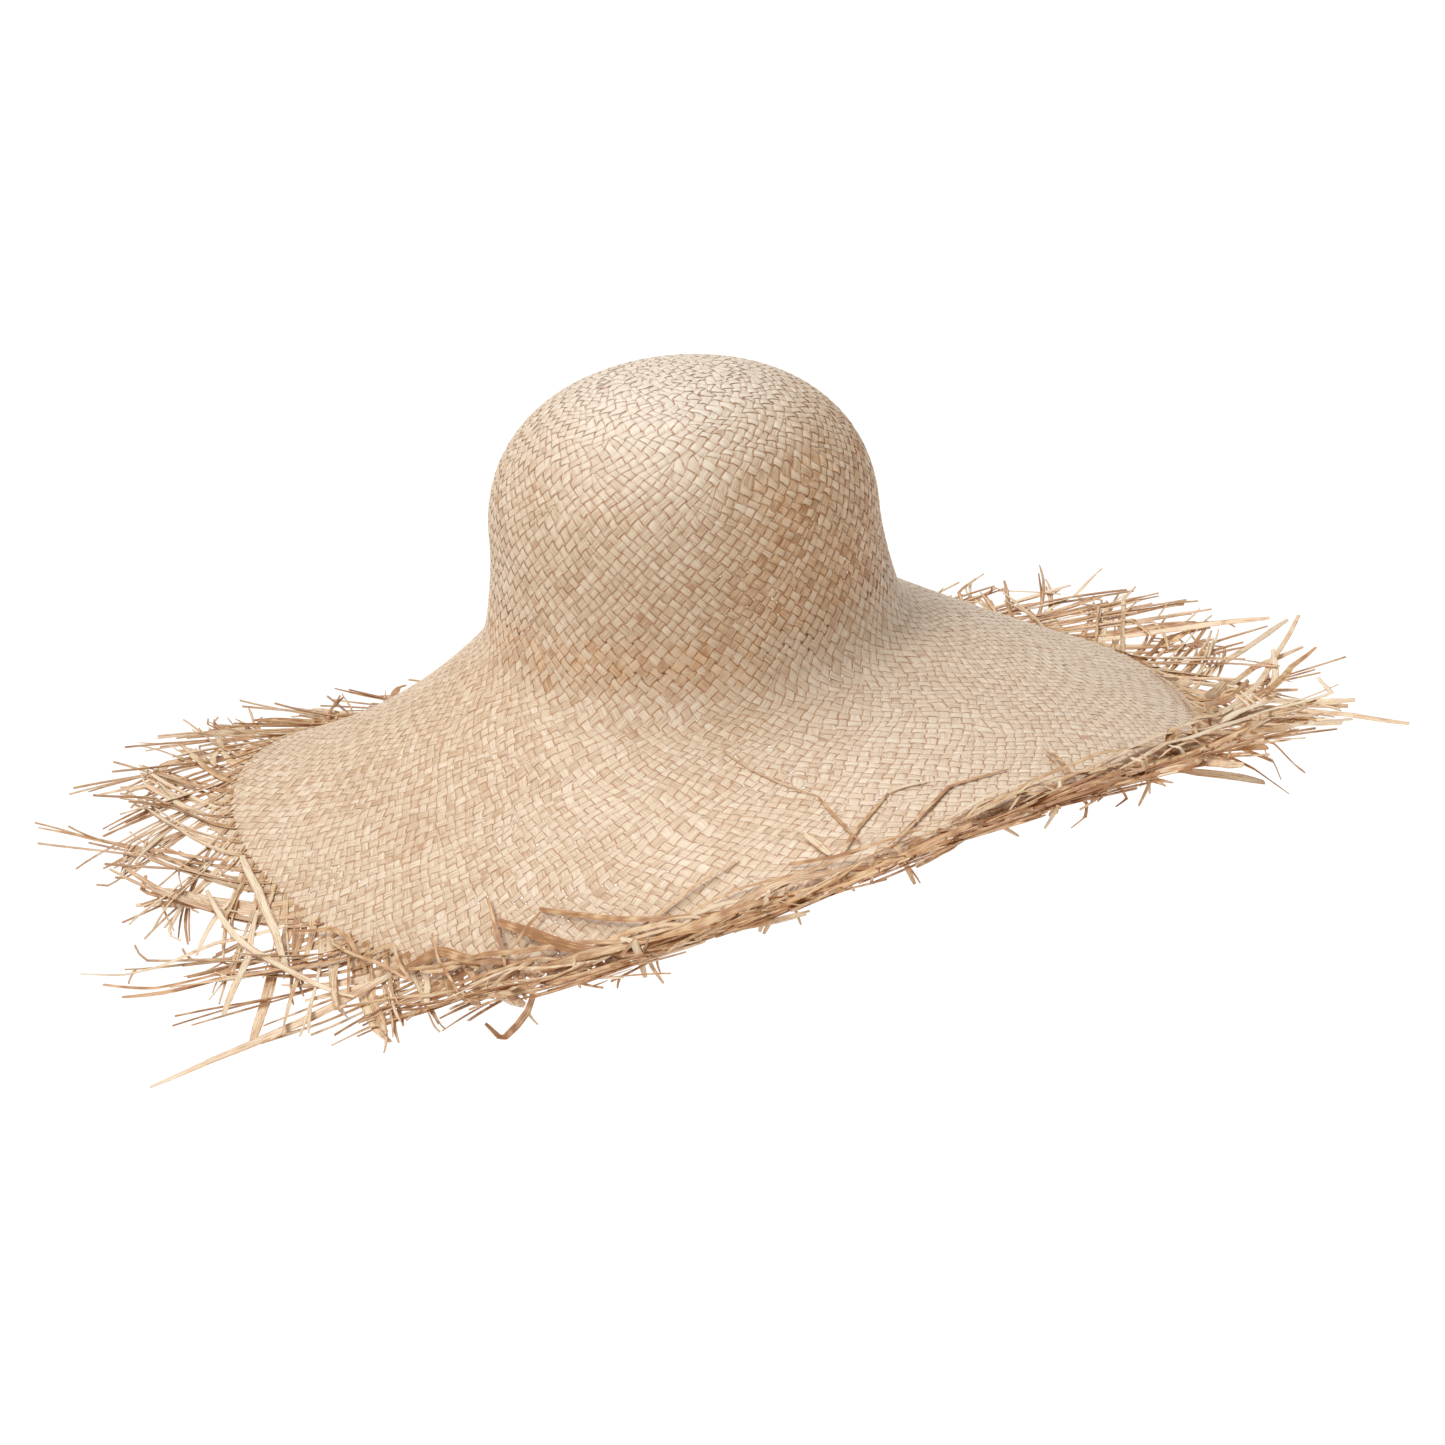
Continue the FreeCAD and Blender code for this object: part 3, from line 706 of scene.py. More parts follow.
def make_start_square():
    """The small square of straight strands that the weaver starts from, on the tip."""
    straws = Straws("crown_start_square")
    draw = np.random.default_rng(SQUARE_SEED)
    reach = 0.5 * SQUARE_STRANDS * SQUARE_PITCH + 1.6 * MM
    along = np.linspace(-reach, reach, 31)
    for family in (0, 1):
        ahead = outward(SQUARE_TURN + 0.5 * math.pi * family)
        beside = outward(SQUARE_TURN + 0.5 * math.pi * (family + 1))
        for i in range(SQUARE_STRANDS):
            offset = (i - 0.5 * (SQUARE_STRANDS - 1)) * SQUARE_PITCH
            sign = (-1.0) ** (i + family)
            swing = sign * relief(0.0) * swing_shape(along / SQUARE_PITCH)
            dip = -0.9 * MM * smooth((np.abs(along) - reach + 2.4 * MM) / (2.4 * MM))
            fall = -0.5 * SQUARE_BULGE * np.hypot(along, offset) ** 2 / DOME_RADIUS ** 2
            middle = along[:, None] * ahead + offset * beside
            middle[:, 2] = CROWN_HEIGHT - 0.35 * MM + swing + dip + fall
            up = np.tile([0.0, 0.0, 1.0], (len(along), 1))
            width = np.full(len(along), SQUARE_PITCH * draw.uniform(0.9, 0.98))
            rails = lens_rails(middle, up, width, np.full(len(along), 2.0 * STRAND_CROWN))
            # The start square is paled by the dome's painted sheen.
            straws.add(rails, draw.normal(), np.full(len(along), -DOME_SHEEN), 900 + 7 * i + family)
    straws.finish(woven_raffia, "woven_raffia", "crown")


# ---- the fringe --------------------------------------------------------------------
FIBRE_STATIONS = 20
ROOT_DEPTH = 5.0 * MM            # fibres start this far inside the woven edge
ROLL_LENGTH = 9.0 * MM           # over which a woven strand rolls up to its loose width
GATHER_LENGTH = 42.0 * MM        # over which neighbouring strands bunch together
GROUP = 3                        # strands in a bunch
GROUP_GATHER = (0.50, 0.95)      # share of their spacing that the strands of a bunch give up
LOOSE_LENGTHS = (58.0 * MM, 104.0 * MM)
LONG_LENGTHS = (108.0 * MM, 124.0 * MM)
KNEE_CHANCE = 0.30               # of a sharp bend in a strand
SPLINTER_CHANCE = 0.20           # of a torn sliver on a fibre
# Middles and half widths, in degrees, of the left, front and right of the fringe.
FRINGE_ZONES = ((213.0, 30.0), (287.0, 42.0), (352.0, 26.0))


def zone(azimuth, middle, half_width):
    """1 at the middle of a zone round the hat, 0 outside it; in degrees."""
    apart = (np.degrees(azimuth) - middle + 180.0) % 360.0 - 180.0
    return smooth(1.5 - np.abs(apart) / half_width)


def fibre_rails(root, sideways, headings, length, lift, width, thickness, twist):
    """Rails of one loose fibre from its root azimuth; arrays over its stations."""
    step = length / (len(headings) - 1)
    reach = running_sum(np.cos(headings[:-1]) * step) - ROOT_DEPTH
    run = running_sum(np.sin(headings[:-1]) * step) + sideways
    azimuth = root + run / (EDGE_RADIUS + np.maximum(0.6 * reach, 0.0))
    middle = fringe_place(azimuth, reach, lift)
    up = fringe_place(azimuth, reach, lift + MM) - middle
    beside = unit(np.cross(unit(np.gradient(middle, axis=0)), up))
    up = up / MM * np.cos(twist)[:, None] + beside * np.sin(twist)[:, None]
    return lens_rails(middle, up, width, thickness), middle, up


def bend_of(draw, share, lean, group_turn):
    """Headings of a loose strand from the radial direction, and its knee if it has one."""
    turn = math.radians(45.0 + draw.normal(0.0, 3.5)) + group_turn
    headings = lean * turn + math.radians(draw.normal(0.0, 8.0)) * share
    if draw.random() < KNEE_CHANCE:
        knee = draw.uniform(0.5, 0.93)
        bend = math.radians(draw.uniform(20.0, 75.0)) * draw.choice((-1.0, 1.0))
        headings = headings + bend * smooth((share - knee) * FIBRE_STATIONS / 1.5 + 0.5)
    return headings


def make_up(draw, left, front, right):
    """Fibres in a strand, their width and thickness, and how much paler they are."""
    kind = draw.random()
    if kind < 0.14 + 0.42 * right + 0.08 * left + 0.16 * front:
        return 1, draw.uniform(2.8, 4.8) * MM, 0.7 * MM, 0.6
    if kind < 0.72:
        return 2, draw.uniform(1.4, 2.2) * MM, draw.uniform(0.9, 1.2) * MM, 0.0
    return 3, draw.uniform(1.1, 1.6) * MM, draw.uniform(0.8, 1.1) * MM, 0.0


def loose_strand(straws, draw, root, lean, group_turn, gather, footprint, layer, number):
    """The loose end of one strand: one to three fibres that it has split into."""
    share = np.linspace(0.0, 1.0, FIBRE_STATIONS)
    left, front, right = (float(zone(root, *span)) for span in FRINGE_ZONES)
    length = draw.uniform(*LOOSE_LENGTHS) * (1.0 - 0.10 * front)
    if draw.random() < 0.07 * left:
        length = draw.uniform(*LONG_LENGTHS)
    headings = bend_of(draw, share, lean, group_turn)
    rise = draw.normal(1.2 * front, 2.4 + 0.8 * front) * MM * share ** 1.3
    if draw.random() < 0.13 * (1.0 - front):
        rise = rise - draw.uniform(3.0, 8.0) * MM * share ** 3
    if draw.random() < 0.08 + 0.12 * right:
        rise = rise + draw.uniform(3.0, 9.0) * MM * share ** 2
    twist = math.radians(draw.normal(0.0, 10.0)) + math.radians(draw.normal(0.0, 32.0)) * share
    brown = 0.75 * draw.random() if draw.random() < 0.20 else 0.10 * draw.random()
    brown = brown + 0.60 * front * draw.random()
    tone = draw.normal(0.5 * left + 0.35 * right - 0.2 * front, 0.8)
    fibres, widest, thick, paler = make_up(draw, left, front, right)
    for i in range(fibres):
        place = i - 0.5 * (fibres - 1)
        own = length * draw.uniform(0.68 if i else 0.95, 1.0)
        travelled = share * own
        roll = np.exp(-travelled / ROLL_LENGTH)
        width = widest * draw.uniform(0.85, 1.1)
        beside = place * (0.9 * width + (footprint / fibres * 1.3 - 0.9 * width) * roll)
        beside = beside - gather * smooth(travelled / GATHER_LENGTH)
        width = width + (footprint / fibres - width) * roll
        width = width * (1.0 - 0.45 * smooth((share - 0.82) / 0.18))
        width = width * (1.0 + 0.08 * np.sin(17.0 * share + number))
        thickness = thick + (2.0 * STRAND_CROWN - thick) * roll
        lift = layer * (1.0 - smooth(share * 3.0)) + rise + draw.normal(0.0, 0.9) * MM * share
        turned = headings + math.radians(0.7 * place + draw.normal(0.0, 0.9)) * smooth(share * 3.0)
        turned = turned + math.radians(draw.normal(0.0, 5.0)) * share ** 3
        turned = turned + math.radians(2.0) * np.sin(share * draw.uniform(6.0, 16.0) + 2.0 * i)
        rails, middle, up = fibre_rails(root, beside, turned, own, lift, width, thickness,
                                        twist + 0.3 * i)
        # Painted shade: the fibres are browner near their roots, where they leave the woven edge in
        # shade.
        root_shade = (0.15 + 0.35 * draw.random()) * np.exp(-travelled / (16.0 * MM))
        stain = np.clip(brown + root_shade, 0.0, 0.8)
        fibre_tone = tone + paler + draw.normal(0.0, 0.5)
        straws.add(rails, fibre_tone, stain, number + 1.9 * i)
        if draw.random() < SPLINTER_CHANCE:
            splinter(straws, draw, middle, up, fibre_tone, number + 1.9 * i + 0.5)


def splinter(straws, draw, middle, up, tone, number):
    """A short sliver torn off a fibre."""
    at = int(draw.integers(len(middle) // 2, len(middle) - 1))
    ahead = unit(middle[at] - middle[at - 1])
    normal = unit(up[at])
    beside = np.cross(ahead, normal)
    turn = math.radians(draw.uniform(18.0, 65.0)) * draw.choice((-1.0, 1.0))
    rise = draw.normal(0.0, 0.25)
    share = np.linspace(0.0, 1.0, 6)[:, None]
    curl = turn * (1.0 + 0.5 * share)
    length = draw.uniform(4.0, 13.0) * MM
    steps = (ahead * np.cos(curl) + beside * np.sin(curl) + normal * rise) * length / 5.0
    places = middle[at] + running_sum(steps[:-1])
    width = np.linspace(draw.uniform(1.1, 1.7), 0.7, 6) * MM
    rails = lens_rails(places, np.tile(normal, (6, 1)), width, 0.6 * width)
    straws.add(rails, tone + draw.normal(0.0, 0.4), np.full(6, 0.25 * draw.random()), number)


def make_fringe():
    for side, mine, lean in FAMILIES:
        draw = np.random.default_rng(FRINGE_SEED + int(lean))
        sectors = [Straws("fringe_%s_lean_%02d_straws" % (side, i + 1)) for i in range(SECTORS)]
        group_turn = group_gather = 0.0
        edge = np.array([surface.sigma_edge])
        for strand in range(mine.count):
            if strand % GROUP == 0:
                group_turn = math.radians(draw.normal(0.0, 5.0))
                group_gather = draw.uniform(*GROUP_GATHER)
            middle, half = (float(v[0]) for v in mine.along(strand, edge))
            root = lean * surface.sigma_edge + middle
            root = root + float(wander(np.array(root), surface.sigma_edge))
            footprint = half * EDGE_RADIUS * math.sqrt(2.0)
            gather = group_gather * footprint * ((strand % GROUP) - 0.5 * (GROUP - 1))
            layer = lean * (-1.0) ** strand * 0.45 * MM
            sector = sectors[int(root % TAU / TAU * SECTORS)]
            loose_strand(sector, draw, root, lean, group_turn, gather, footprint, layer,
                         1000.0 + strand * 5.3 + 700.0 * lean)
        for i, straws in enumerate(sectors):
            straws.finish(loose_raffia, "loose_raffia", "fringe_%s_lean_%02d" % (side, i + 1))


# ---- single straws over, in and under the fringe ------------------------------------
# Each: width, tone, stain, then (azimuth in degrees, reach, lift) places, in mm. Many of the
# azimuths and reaches began as the output of a separate projection script and were then
# rounded or shifted. Widths, tones, stains and lifts were chosen one by one.
SET_STRAWS = [
    # kinked straws that lie over the front of the brim
    (1.4, -0.5, 0.65, [(286, -18, 2.2), (285.5, -42, 1.3), (285, -64, 1.1)]),
    (2.0, 0.2, 0.45, [(288, -6, 2.6), (294, -22, 1.9), (300, -37, 1.2), (308.5, -33, 1.1)]),
    (1.7, 0.2, 0.40, [(283.5, -14, 2.2), (287, -30, 1.7), (293.5, -49, 1.1)]),
    (1.9, 1.6, 0.10, [(293, -48, 1.3), (295.5, -49, 1.2), (299, -46, 1.1)]),
    (1.4, -0.4, 0.65, [(311, -4, 2), (314, -22, 2.5), (316, -38, 1.9)]),
    (1.2, -0.4, 0.65, [(311, -6, 3), (312, -18, 3.5), (313, -28, 4.5)]),
    (1.4, -0.5, 0.65, [(341, -3, 1.1), (346, -6, 3), (352, -10, 2), (361, -12, 2), (370, -14, 1.4)]),
    (5.0, -1.1, 0.40, [(242, -24, 4), (248, -16, 6), (254, -4, 7), (260, 5, 4), (267, 7, 1)]),
    (2.8, -0.8, 0.40, [(247, -31, 2), (254, -23, 4), (261, -13, 5), (269, -4, 4), (277, 4, 2)]),
    (2.2, 0.2, 0.5, [(257, 2, 2), (261, -9, 2.5), (267, -25, 3), (273, -36, 1.6)]),
    (1.9, 0.3, 0.45, [(259, 0, 3), (264, -7, 3), (272, -15, 3), (282, -10, 1.9)]),
    (1.5, -0.6, 0.6, [(233, -16, 4), (236, -4, 6), (240, 12, 6), (243, 26, 2)]),
    (1.5, -0.4, 0.6, [(221, -3, 3), (225, 13, 4), (228, 28, 1)]),
    (1.9, -0.3, 0.55, [(239, -36, 3), (242, -22, 5), (245, -7, 6), (246, 3, 4)]),
    (1.8, -0.3, 0.55, [(248, -28, 4), (247, -18, 6), (246, -8, 6)]),
    (0.9, 0.3, 0.3, [(273, -112, 1.1), (279.5, -86, 1.1), (285, -64, 1.1)]),
    # leaves and a stick that lie on the brim beside the front edge
    (3.6, 1.2, 0.10, [(281, -38, 2.0), (281.8, -28, 2.2), (282.5, -14, 3.2)]),
    (2.4, -0.6, 0.60, [(278, -20, 2.6), (282.5, -9, 5.0), (287, -1, 8.0), (291, 3, 8.0)]),
    (3.2, 1.4, 0.05, [(295, -8, 2.6), (301, -15, 2.6), (305.5, -15, 2.6), (310, -9, 3.2)]),
    (2.8, 1.2, 0.10, [(297, -5, 3.0), (303, -9, 3.2), (309, -6, 3.8), (316, 2, 4.5)]),
    # pale flat pieces that hang over the front edge
    (3.4, 1.6, 0.0, [(260, -2, 8), (261, 7, 8.5), (261.6, 11, 1), (262, 11.5, -9)]),
    (2.6, 1.5, 0.0, [(275, 0, 8), (274.6, 8, 7), (274, 11, -1), (273.5, 11, -6)]),
    (1.7, 1.2, 0.1, [(248.5, 2, 8), (246.5, 9, 6), (244.5, 14, 0), (242.8, 17, -5)]),
    (2.0, 1.2, 0.0, [(282, -5, 4), (282, 6, 4), (283, 10, -5)]),
    (2.0, 1.5, 0.0, [(298, -4, 3), (299, 3, -1), (301, 6, -10)]),
    (1.8, -0.3, 0.4, [(308, -6, 2), (309, 3, 0), (310, 6, -6), (309, 8, -11), (307, 7, -14)]),
    (1.7, -0.2, 0.4, [(313, -6, 2), (314, 3, 1), (315, 7, -5), (315, 9, -9), (313, 9, -11)]),
    # straws combed along the front edge
    (2.6, 0.9, 0.1, [(308, -2, 3), (318, -7, 6), (330, -8, 6), (343, 6, 5)]),
    (3.4, 1.0, 0.0, [(315, 2, 2), (327, -3, 5), (340, 10, 7), (350, 30, 6)]),
    (2.2, 0.3, 0.2, [(296, 0, 3), (306, -8, 6), (317, -10, 7), (329, -2, 4)]),
    (2.6, -0.2, 0.3, [(232, 4, 4), (243, -6, 7), (255, -7, 6), (266, 4, 3)]),
    (2.0, 0.2, 0.3, [(270, 3, 4), (281, -5, 6), (292, -6, 5), (303, 3, 3)]),
    # the left of the fringe: pale leaves, a brown bundle and curls near the woven edge
    (4.8, 0.9, 0.05, [(230, 6, 2), (227, 34, 2), (224, 60, 1), (222, 84, 1), (220, 112, -1)]),
    (3.8, 1.4, 0.0, [(212, 6, 3), (209, 36, 2), (209, 62, 2), (208, 78, 1), (206, 94, 0)]),
    (3.4, -0.8, 0.5, [(221, 4, 2), (217, 26, 3), (213, 48, 2), (211, 72, 2), (208, 89, 1)]),
    (3.0, -0.2, 0.4, [(223, 5, 3), (218, 28, 4), (214, 50, 3), (212, 70, 2), (210, 86, 1)]),
    (2.4, -0.3, 0.35, [(196, 4, 2), (192, 26, 2), (189, 46, 1), (186, 68, 1), (184, 84, 0)]),
    (4.2, 1.1, 0.0, [(196, -2, 2), (204, 2, 3), (212, 12, 4), (219, 27, 3)]),
    (3.0, 1.2, 0.0, [(201, 22, 4), (210, 28, 5), (219, 27, 5), (229, 26, 3)]),
    (3.6, 1.3, 0.05, [(219, 64, 3), (214, 32, 4), (207, 9, 3)]),
    # the right of the fringe: broad pale leaves and kinked brown ends
    (5.4, 1.3, 0.0, [(346, 4, 3), (351, 14, 5), (357, 31, 6), (359, 48, 5), (355, 62, 3)]),
    (3.6, 0.9, 0.1, [(312, -5, 2), (327, -12, 4), (342, -5, 5), (360, 21, 6), (370, 48, 6),
                     (377, 78, 5)]),
    (4.6, 1.4, 0.0, [(321, 3, -5), (327, 6, -6), (335, 20, -16), (338, 28, -21)]),
    (2.0, -0.6, 0.5, [(341, 4, 1), (344, 18, -2), (345, 30, -7), (345, 38, -18), (344, 43, -22)]),
    (1.9, -0.5, 0.45, [(332, 2, 1), (336, 12, -4), (338, 24, -14), (338, 38, -28)]),
    (2.8, -0.2, 0.3, [(328, 2, 2), (334, 7, 0), (340, 16, -4), (343, 30, -14), (342, 33, -23)]),
    (4.4, 0.8, 0.1, [(352, 6, 3), (357, 26, 3), (357, 44, 2), (354, 66, 0), (352, 92, -6)]),
    (3.2, -0.3, 0.35, [(351, 12, 5), (360, 30, 7), (367, 52, 8), (370, 70, 8)]),
    (4.0, 1.0, 0.0, [(349, 4, 4), (356, 20, 6), (364, 40, 7), (372, 52, 6)]),
]
EDGE_STRAWS = 30
EDGE_CURLS = 11
DANGLING_STRAW = (3.2, -0.5, 0.45, [(249, 8, -1), (249, 8, -8), (248, 8, -15), (246.5, 9, -21),
                                    (244.5, 9, -27), (243.5, 9, -27.5), (242, 9, -20)])


def straw_place(azimuth, reach, lift):
    """Points over the brim inside the woven edge and over the fringe outside it."""
    path = surface.crown_length + BRIM_LENGTH + np.minimum(reach, 0.0)
    over_brim = surface.place(azimuth, np.interp(path, surface.path, surface.sigma), lift)
    return np.where((reach < 0.0)[:, None], over_brim, fringe_place(azimuth, reach, lift))


def single_straw(straws, spec, number, kinked):
    """One straw through its places, rounded at each unless kinked is 1."""
    width, tone, stain, places = spec
    places = np.array(places, float)
    knots = np.arange(len(places))
    fine = np.linspace(0, len(places) - 1, 6 * (len(places) - 1) + 1)
    straight = np.stack([np.interp(fine, knots, places[:, i]) for i in range(3)], -1)
    padded = np.concatenate([straight[:1]] * 2 + [straight] + [straight[-1:]] * 2)
    rounded = sum(padded[i:i + len(fine)] for i in range(5)) / 5.0
    route = straight * kinked + rounded * (1.0 - kinked)
    azimuth = np.radians(route[:, 0])
    reach, lift = route[:, 1] * MM, route[:, 2] * MM
    middle = straw_place(azimuth, reach, lift)
    up = (straw_place(azimuth, reach, lift + MM) - middle) / MM
    share = np.linspace(0.0, 1.0, len(fine))
    lean_over = 0.25 * np.sin(2.5 * share + number)
    ahead = unit(np.gradient(middle, axis=0))
    steep = smooth(np.abs((ahead * up).sum(-1)) * 2.0 - 0.5)
    up = up + np.cross(ahead, up) * lean_over[:, None] + 2.5 * outward(azimuth) * steep[:, None]
    shape = 0.40 + 0.60 * np.sin(math.pi * np.clip(share * 0.9 + 0.08, 0.0, 1.0)) ** 0.7
    widths = width * MM * shape
    rails = lens_rails(middle, up, widths, np.maximum(0.2 * widths, 0.45 * MM))
    straws.add(rails, tone, np.full(len(fine), stain), number)


def edge_straw(draw):
    """A loose straw that has been combed along the front edge."""
    start = draw.uniform(226.0, 348.0)
    sweep = draw.uniform(8.0, 21.0) * draw.choice((-1.0, 1.0))
    places = []
    for share in (0.0, 0.3, 0.6, 1.0):
        lift = draw.uniform(1.0, 4.0) + 3.5 * math.sin(math.pi * share)
        reach = draw.uniform(-6.0, 11.0) - 3.0 * math.sin(math.pi * share)
        places.append((start + sweep * share, reach, lift))
    width = draw.uniform(1.6, 2.6) if draw.random() < 0.55 else draw.uniform(3.2, 5.2)
    return width, draw.normal(0.3, 0.9), 0.12 + 0.36 * draw.random(), places


def edge_curl(draw):
    """A short pale straw that curls over the front edge and hangs just below it."""
    azimuth = draw.uniform(238.0, 338.0)
    step = draw.normal(0.0, 0.9)
    drop = draw.uniform(5.0, 11.0)
    back = draw.uniform(-3.0, 3.0)
    places = [(azimuth, 1.0, 6.0), (azimuth + step, 8.0, 5.0),
              (azimuth + 2.0 * step, 11.0, 5.0 - drop),
              (azimuth + 3.2 * step, 11.0 + back, 2.0 - 1.5 * drop)]
    return draw.uniform(1.5, 2.8), draw.normal(0.7, 0.8), 0.30 * draw.random(), places


def make_single_straws():
    straws = Straws("front_straws")
    draw = np.random.default_rng(STRAY_SEED)
    combed = [edge_straw(draw) for _ in range(EDGE_STRAWS)]
    curls = [edge_curl(draw) for _ in range(EDGE_CURLS)]
    for specs, first, kinked in ((SET_STRAWS, 3000.0, 0.7), (combed, 3600.0, 0.35), (curls, 4100.0, 0.7)):
        for i, spec in enumerate(specs):
            single_straw(straws, spec, first + 7.7 * i, kinked)
    straws.finish(loose_raffia, "loose_raffia", "stray_straws_front")
    straws = Straws("dangling_straw_bent")
    single_straw(straws, DANGLING_STRAW, 3300.0, 0.8)
    splinter(straws, np.random.default_rng(FORK_SEED), *dangle_fork(), -0.4, 3301.0)
    straws.finish(loose_raffia, "loose_raffia", "dangling_straw")


def dangle_fork():
    """Where the dangling straw splits: its middle line and upper side there."""
    places = np.array(DANGLING_STRAW[3][:4], float)
    middle = fringe_place(np.radians(places[:, 0]), places[:, 1] * MM, places[:, 2] * MM)
    return middle, np.tile([0.0, -1.0, 0.0], (4, 1))


# ---- sweatband, labels and thread, inside the crown ----------------------------------
# A label is its width, its height and the azimuth of its middle in degrees.
BAND_THICKNESS = 0.8 * MM
BAND_CLEARANCE = 0.3 * MM
STITCH_COUNT = 96
STITCH_LENGTH = 4.0 * MM
STITCH_HEIGHT = 6.0 * MM
THREAD_DIAMETER = 0.5 * MM
LABEL_THICKNESS = 0.5 * MM
LABEL_GAP = 0.1 * MM
LABEL_HEIGHT = 18.0 * MM
LABEL_STITCH_PITCH = 3.0 * MM
LABEL_STITCH_LENGTH = 2.0 * MM
LABEL_STITCH_INSET = 1.5 * MM   # from a label's end to its column of stitches
MAKER_LABEL = (46.0 * MM, 16.0 * MM, 90.0)
SIZE_LABEL = (13.0 * MM, 14.0 * MM, 112.0)
RIB_STATIONS = 1152
TUBE_SIDES = 6
LABEL_COLUMNS, LABEL_ROWS = 37, 15


def band_radius(height):
    """Front-to-back outer half width of the sweatband."""
    height = np.asarray(height, float)
    wall = wall_radius(np.maximum(height, JOIN_HEIGHT)) - STRAW_THICKNESS * 1.03 - BAND_CLEARANCE
    return wall + np.maximum(JOIN_HEIGHT - height, 0.0) * 0.06


def band_point(azimuth, height, inset):
    """Places inside the sweatband's inner face, inset towards the crown's axis."""
    radius = band_radius(height) - BAND_THICKNESS - inset
    return round_axis(azimuth, radius * SIDE_RATIO, radius, height)


def grid_mesh(name, rows, grain, closed_rows, closed_columns):
    """Quads over a grid of points, with its grain as an attribute."""
    count, width = rows.shape[:2]
    index = np.arange(count * width).reshape(count, width)
    if closed_rows:
        index = np.concatenate([index, index[:1]])
    if closed_columns:
        index = np.concatenate([index, index[:, :1]], 1)
    quads = np.stack([index[:-1, :-1], index[1:, :-1], index[1:, 1:], index[:-1, 1:]], -1).reshape(-1, 4)
    mesh = bpy.data.meshes.new(name)
    mesh.from_pydata(rows.reshape(-1, 3).tolist(), [], quads.tolist())
    add_attribute(mesh, "grain", grain)
    shade_smooth(mesh)
    return mesh


def make_sweatband():
    """Ribbed ribbon: ribs run across its width, and its edges are rounded."""
    heights = np.linspace(BAND_BOTTOM + 0.3 * MM, BAND_TOP - 0.3 * MM, 8)
    half = 0.5 * BAND_THICKNESS
    section = [(h, half) for h in heights] + [(BAND_TOP, 0.5 * half), (BAND_TOP, -0.5 * half)]
    section += [(h, -half) for h in heights[::-1]]
    section += [(BAND_BOTTOM, -0.5 * half), (BAND_BOTTOM, 0.5 * half)]
    section = np.array(section)
    azimuth = np.linspace(0.0, TAU, RIB_STATIONS, endpoint=False)
    rib = 0.07 * MM * np.cos(math.pi * np.arange(RIB_STATIONS))[:, None] * np.sign(section[:, 1])
    up_band = section[:, 0] - BAND_BOTTOM
    waves = 0.12 * MM * np.sin(9 * azimuth)[:, None] * up_band / (BAND_TOP - BAND_BOTTOM)
    height = np.repeat(section[None, :, 0], RIB_STATIONS, 0)
    radius = band_radius(height) - half + section[:, 1] + rib + waves
    azimuth = np.repeat(azimuth[:, None], len(section), 1)
    rows = round_axis(azimuth, radius * SIDE_RATIO, radius, height)
    grain = np.stack([azimuth * DOME_RADIUS / MM, height / MM, 0.0 * height], -1)
    mesh = grid_mesh("sweatband_ribbon", rows, grain, True, True)
    band = make_piece("sweatband_ribbon", mesh, ribbon_paint, "sweatband_ribbon", "sweatband")


def thread_run(places, away):
    """Corners of a rounded tube along a short stitch; away points off the cloth."""
    share = np.linspace(0.0, 1.0, len(places))
    round_off = np.sqrt(np.clip(1.0 - (2.0 * share - 1.0) ** 4, 0.04, 1.0))
    beside = np.cross(unit(places[-1] - places[0]), away)
    turn = TAU * np.arange(TUBE_SIDES) / TUBE_SIDES
    ring = np.cos(turn)[:, None] * away + np.sin(turn)[:, None] * beside
    return places[:, None] + ring[None] * (0.5 * THREAD_DIAMETER * round_off)[:, None, None]


def make_thread(name, runs, node):
    """Many short tubes as one piece; runs are stations x TUBE_SIDES x 3."""
    points, faces, grain = [], [], []
    for number, run in enumerate(runs):
        base, stations = len(points), len(run)
        points.extend(run.reshape(-1, 3).tolist())
        for i in range(stations - 1):
            low = base + i * TUBE_SIDES
            high = low + TUBE_SIDES
            for a in range(TUBE_SIDES):
                b = (a + 1) % TUBE_SIDES
                faces.append([low + a, low + b, high + b, high + a])
        faces.append([base + a for a in reversed(range(TUBE_SIDES))])
        faces.append([base + (stations - 1) * TUBE_SIDES + a for a in range(TUBE_SIDES)])
        for i in range(stations):
            grain.extend([(i, a / TUBE_SIDES, number) for a in range(TUBE_SIDES)])
    mesh = bpy.data.meshes.new(name)
    mesh.from_pydata(points, [], faces)
    add_attribute(mesh, "grain", grain)
    shade_smooth(mesh)
    make_piece(name, mesh, thread_paint, "sewing_thread", node)


def make_stitches():
    draw = np.random.default_rng(STITCH_SEED)
    share = np.linspace(-0.5, 0.5, 7)
    dip = 0.3 * MM * (2.0 * share) ** 4
    runs = []
    for i in range(STITCH_COUNT):
        azimuth = TAU * i / STITCH_COUNT + share * STITCH_LENGTH / float(band_radius(STITCH_HEIGHT))
        height = STITCH_HEIGHT + draw.normal(0.0, 0.15) * MM + share * draw.normal(0.0, 0.4) * MM
        places = band_point(azimuth, height, 0.5 * THREAD_DIAMETER - dip)
        runs.append(thread_run(places, -outward(TAU * i / STITCH_COUNT)))
    make_thread("sweatband_stitch_row", runs, "sweatband_stitches")


def label_stations(size):
    width, height, middle = size
    half_turn = 0.5 * width / float(band_radius(LABEL_HEIGHT))
    return width, height, math.radians(middle), half_turn


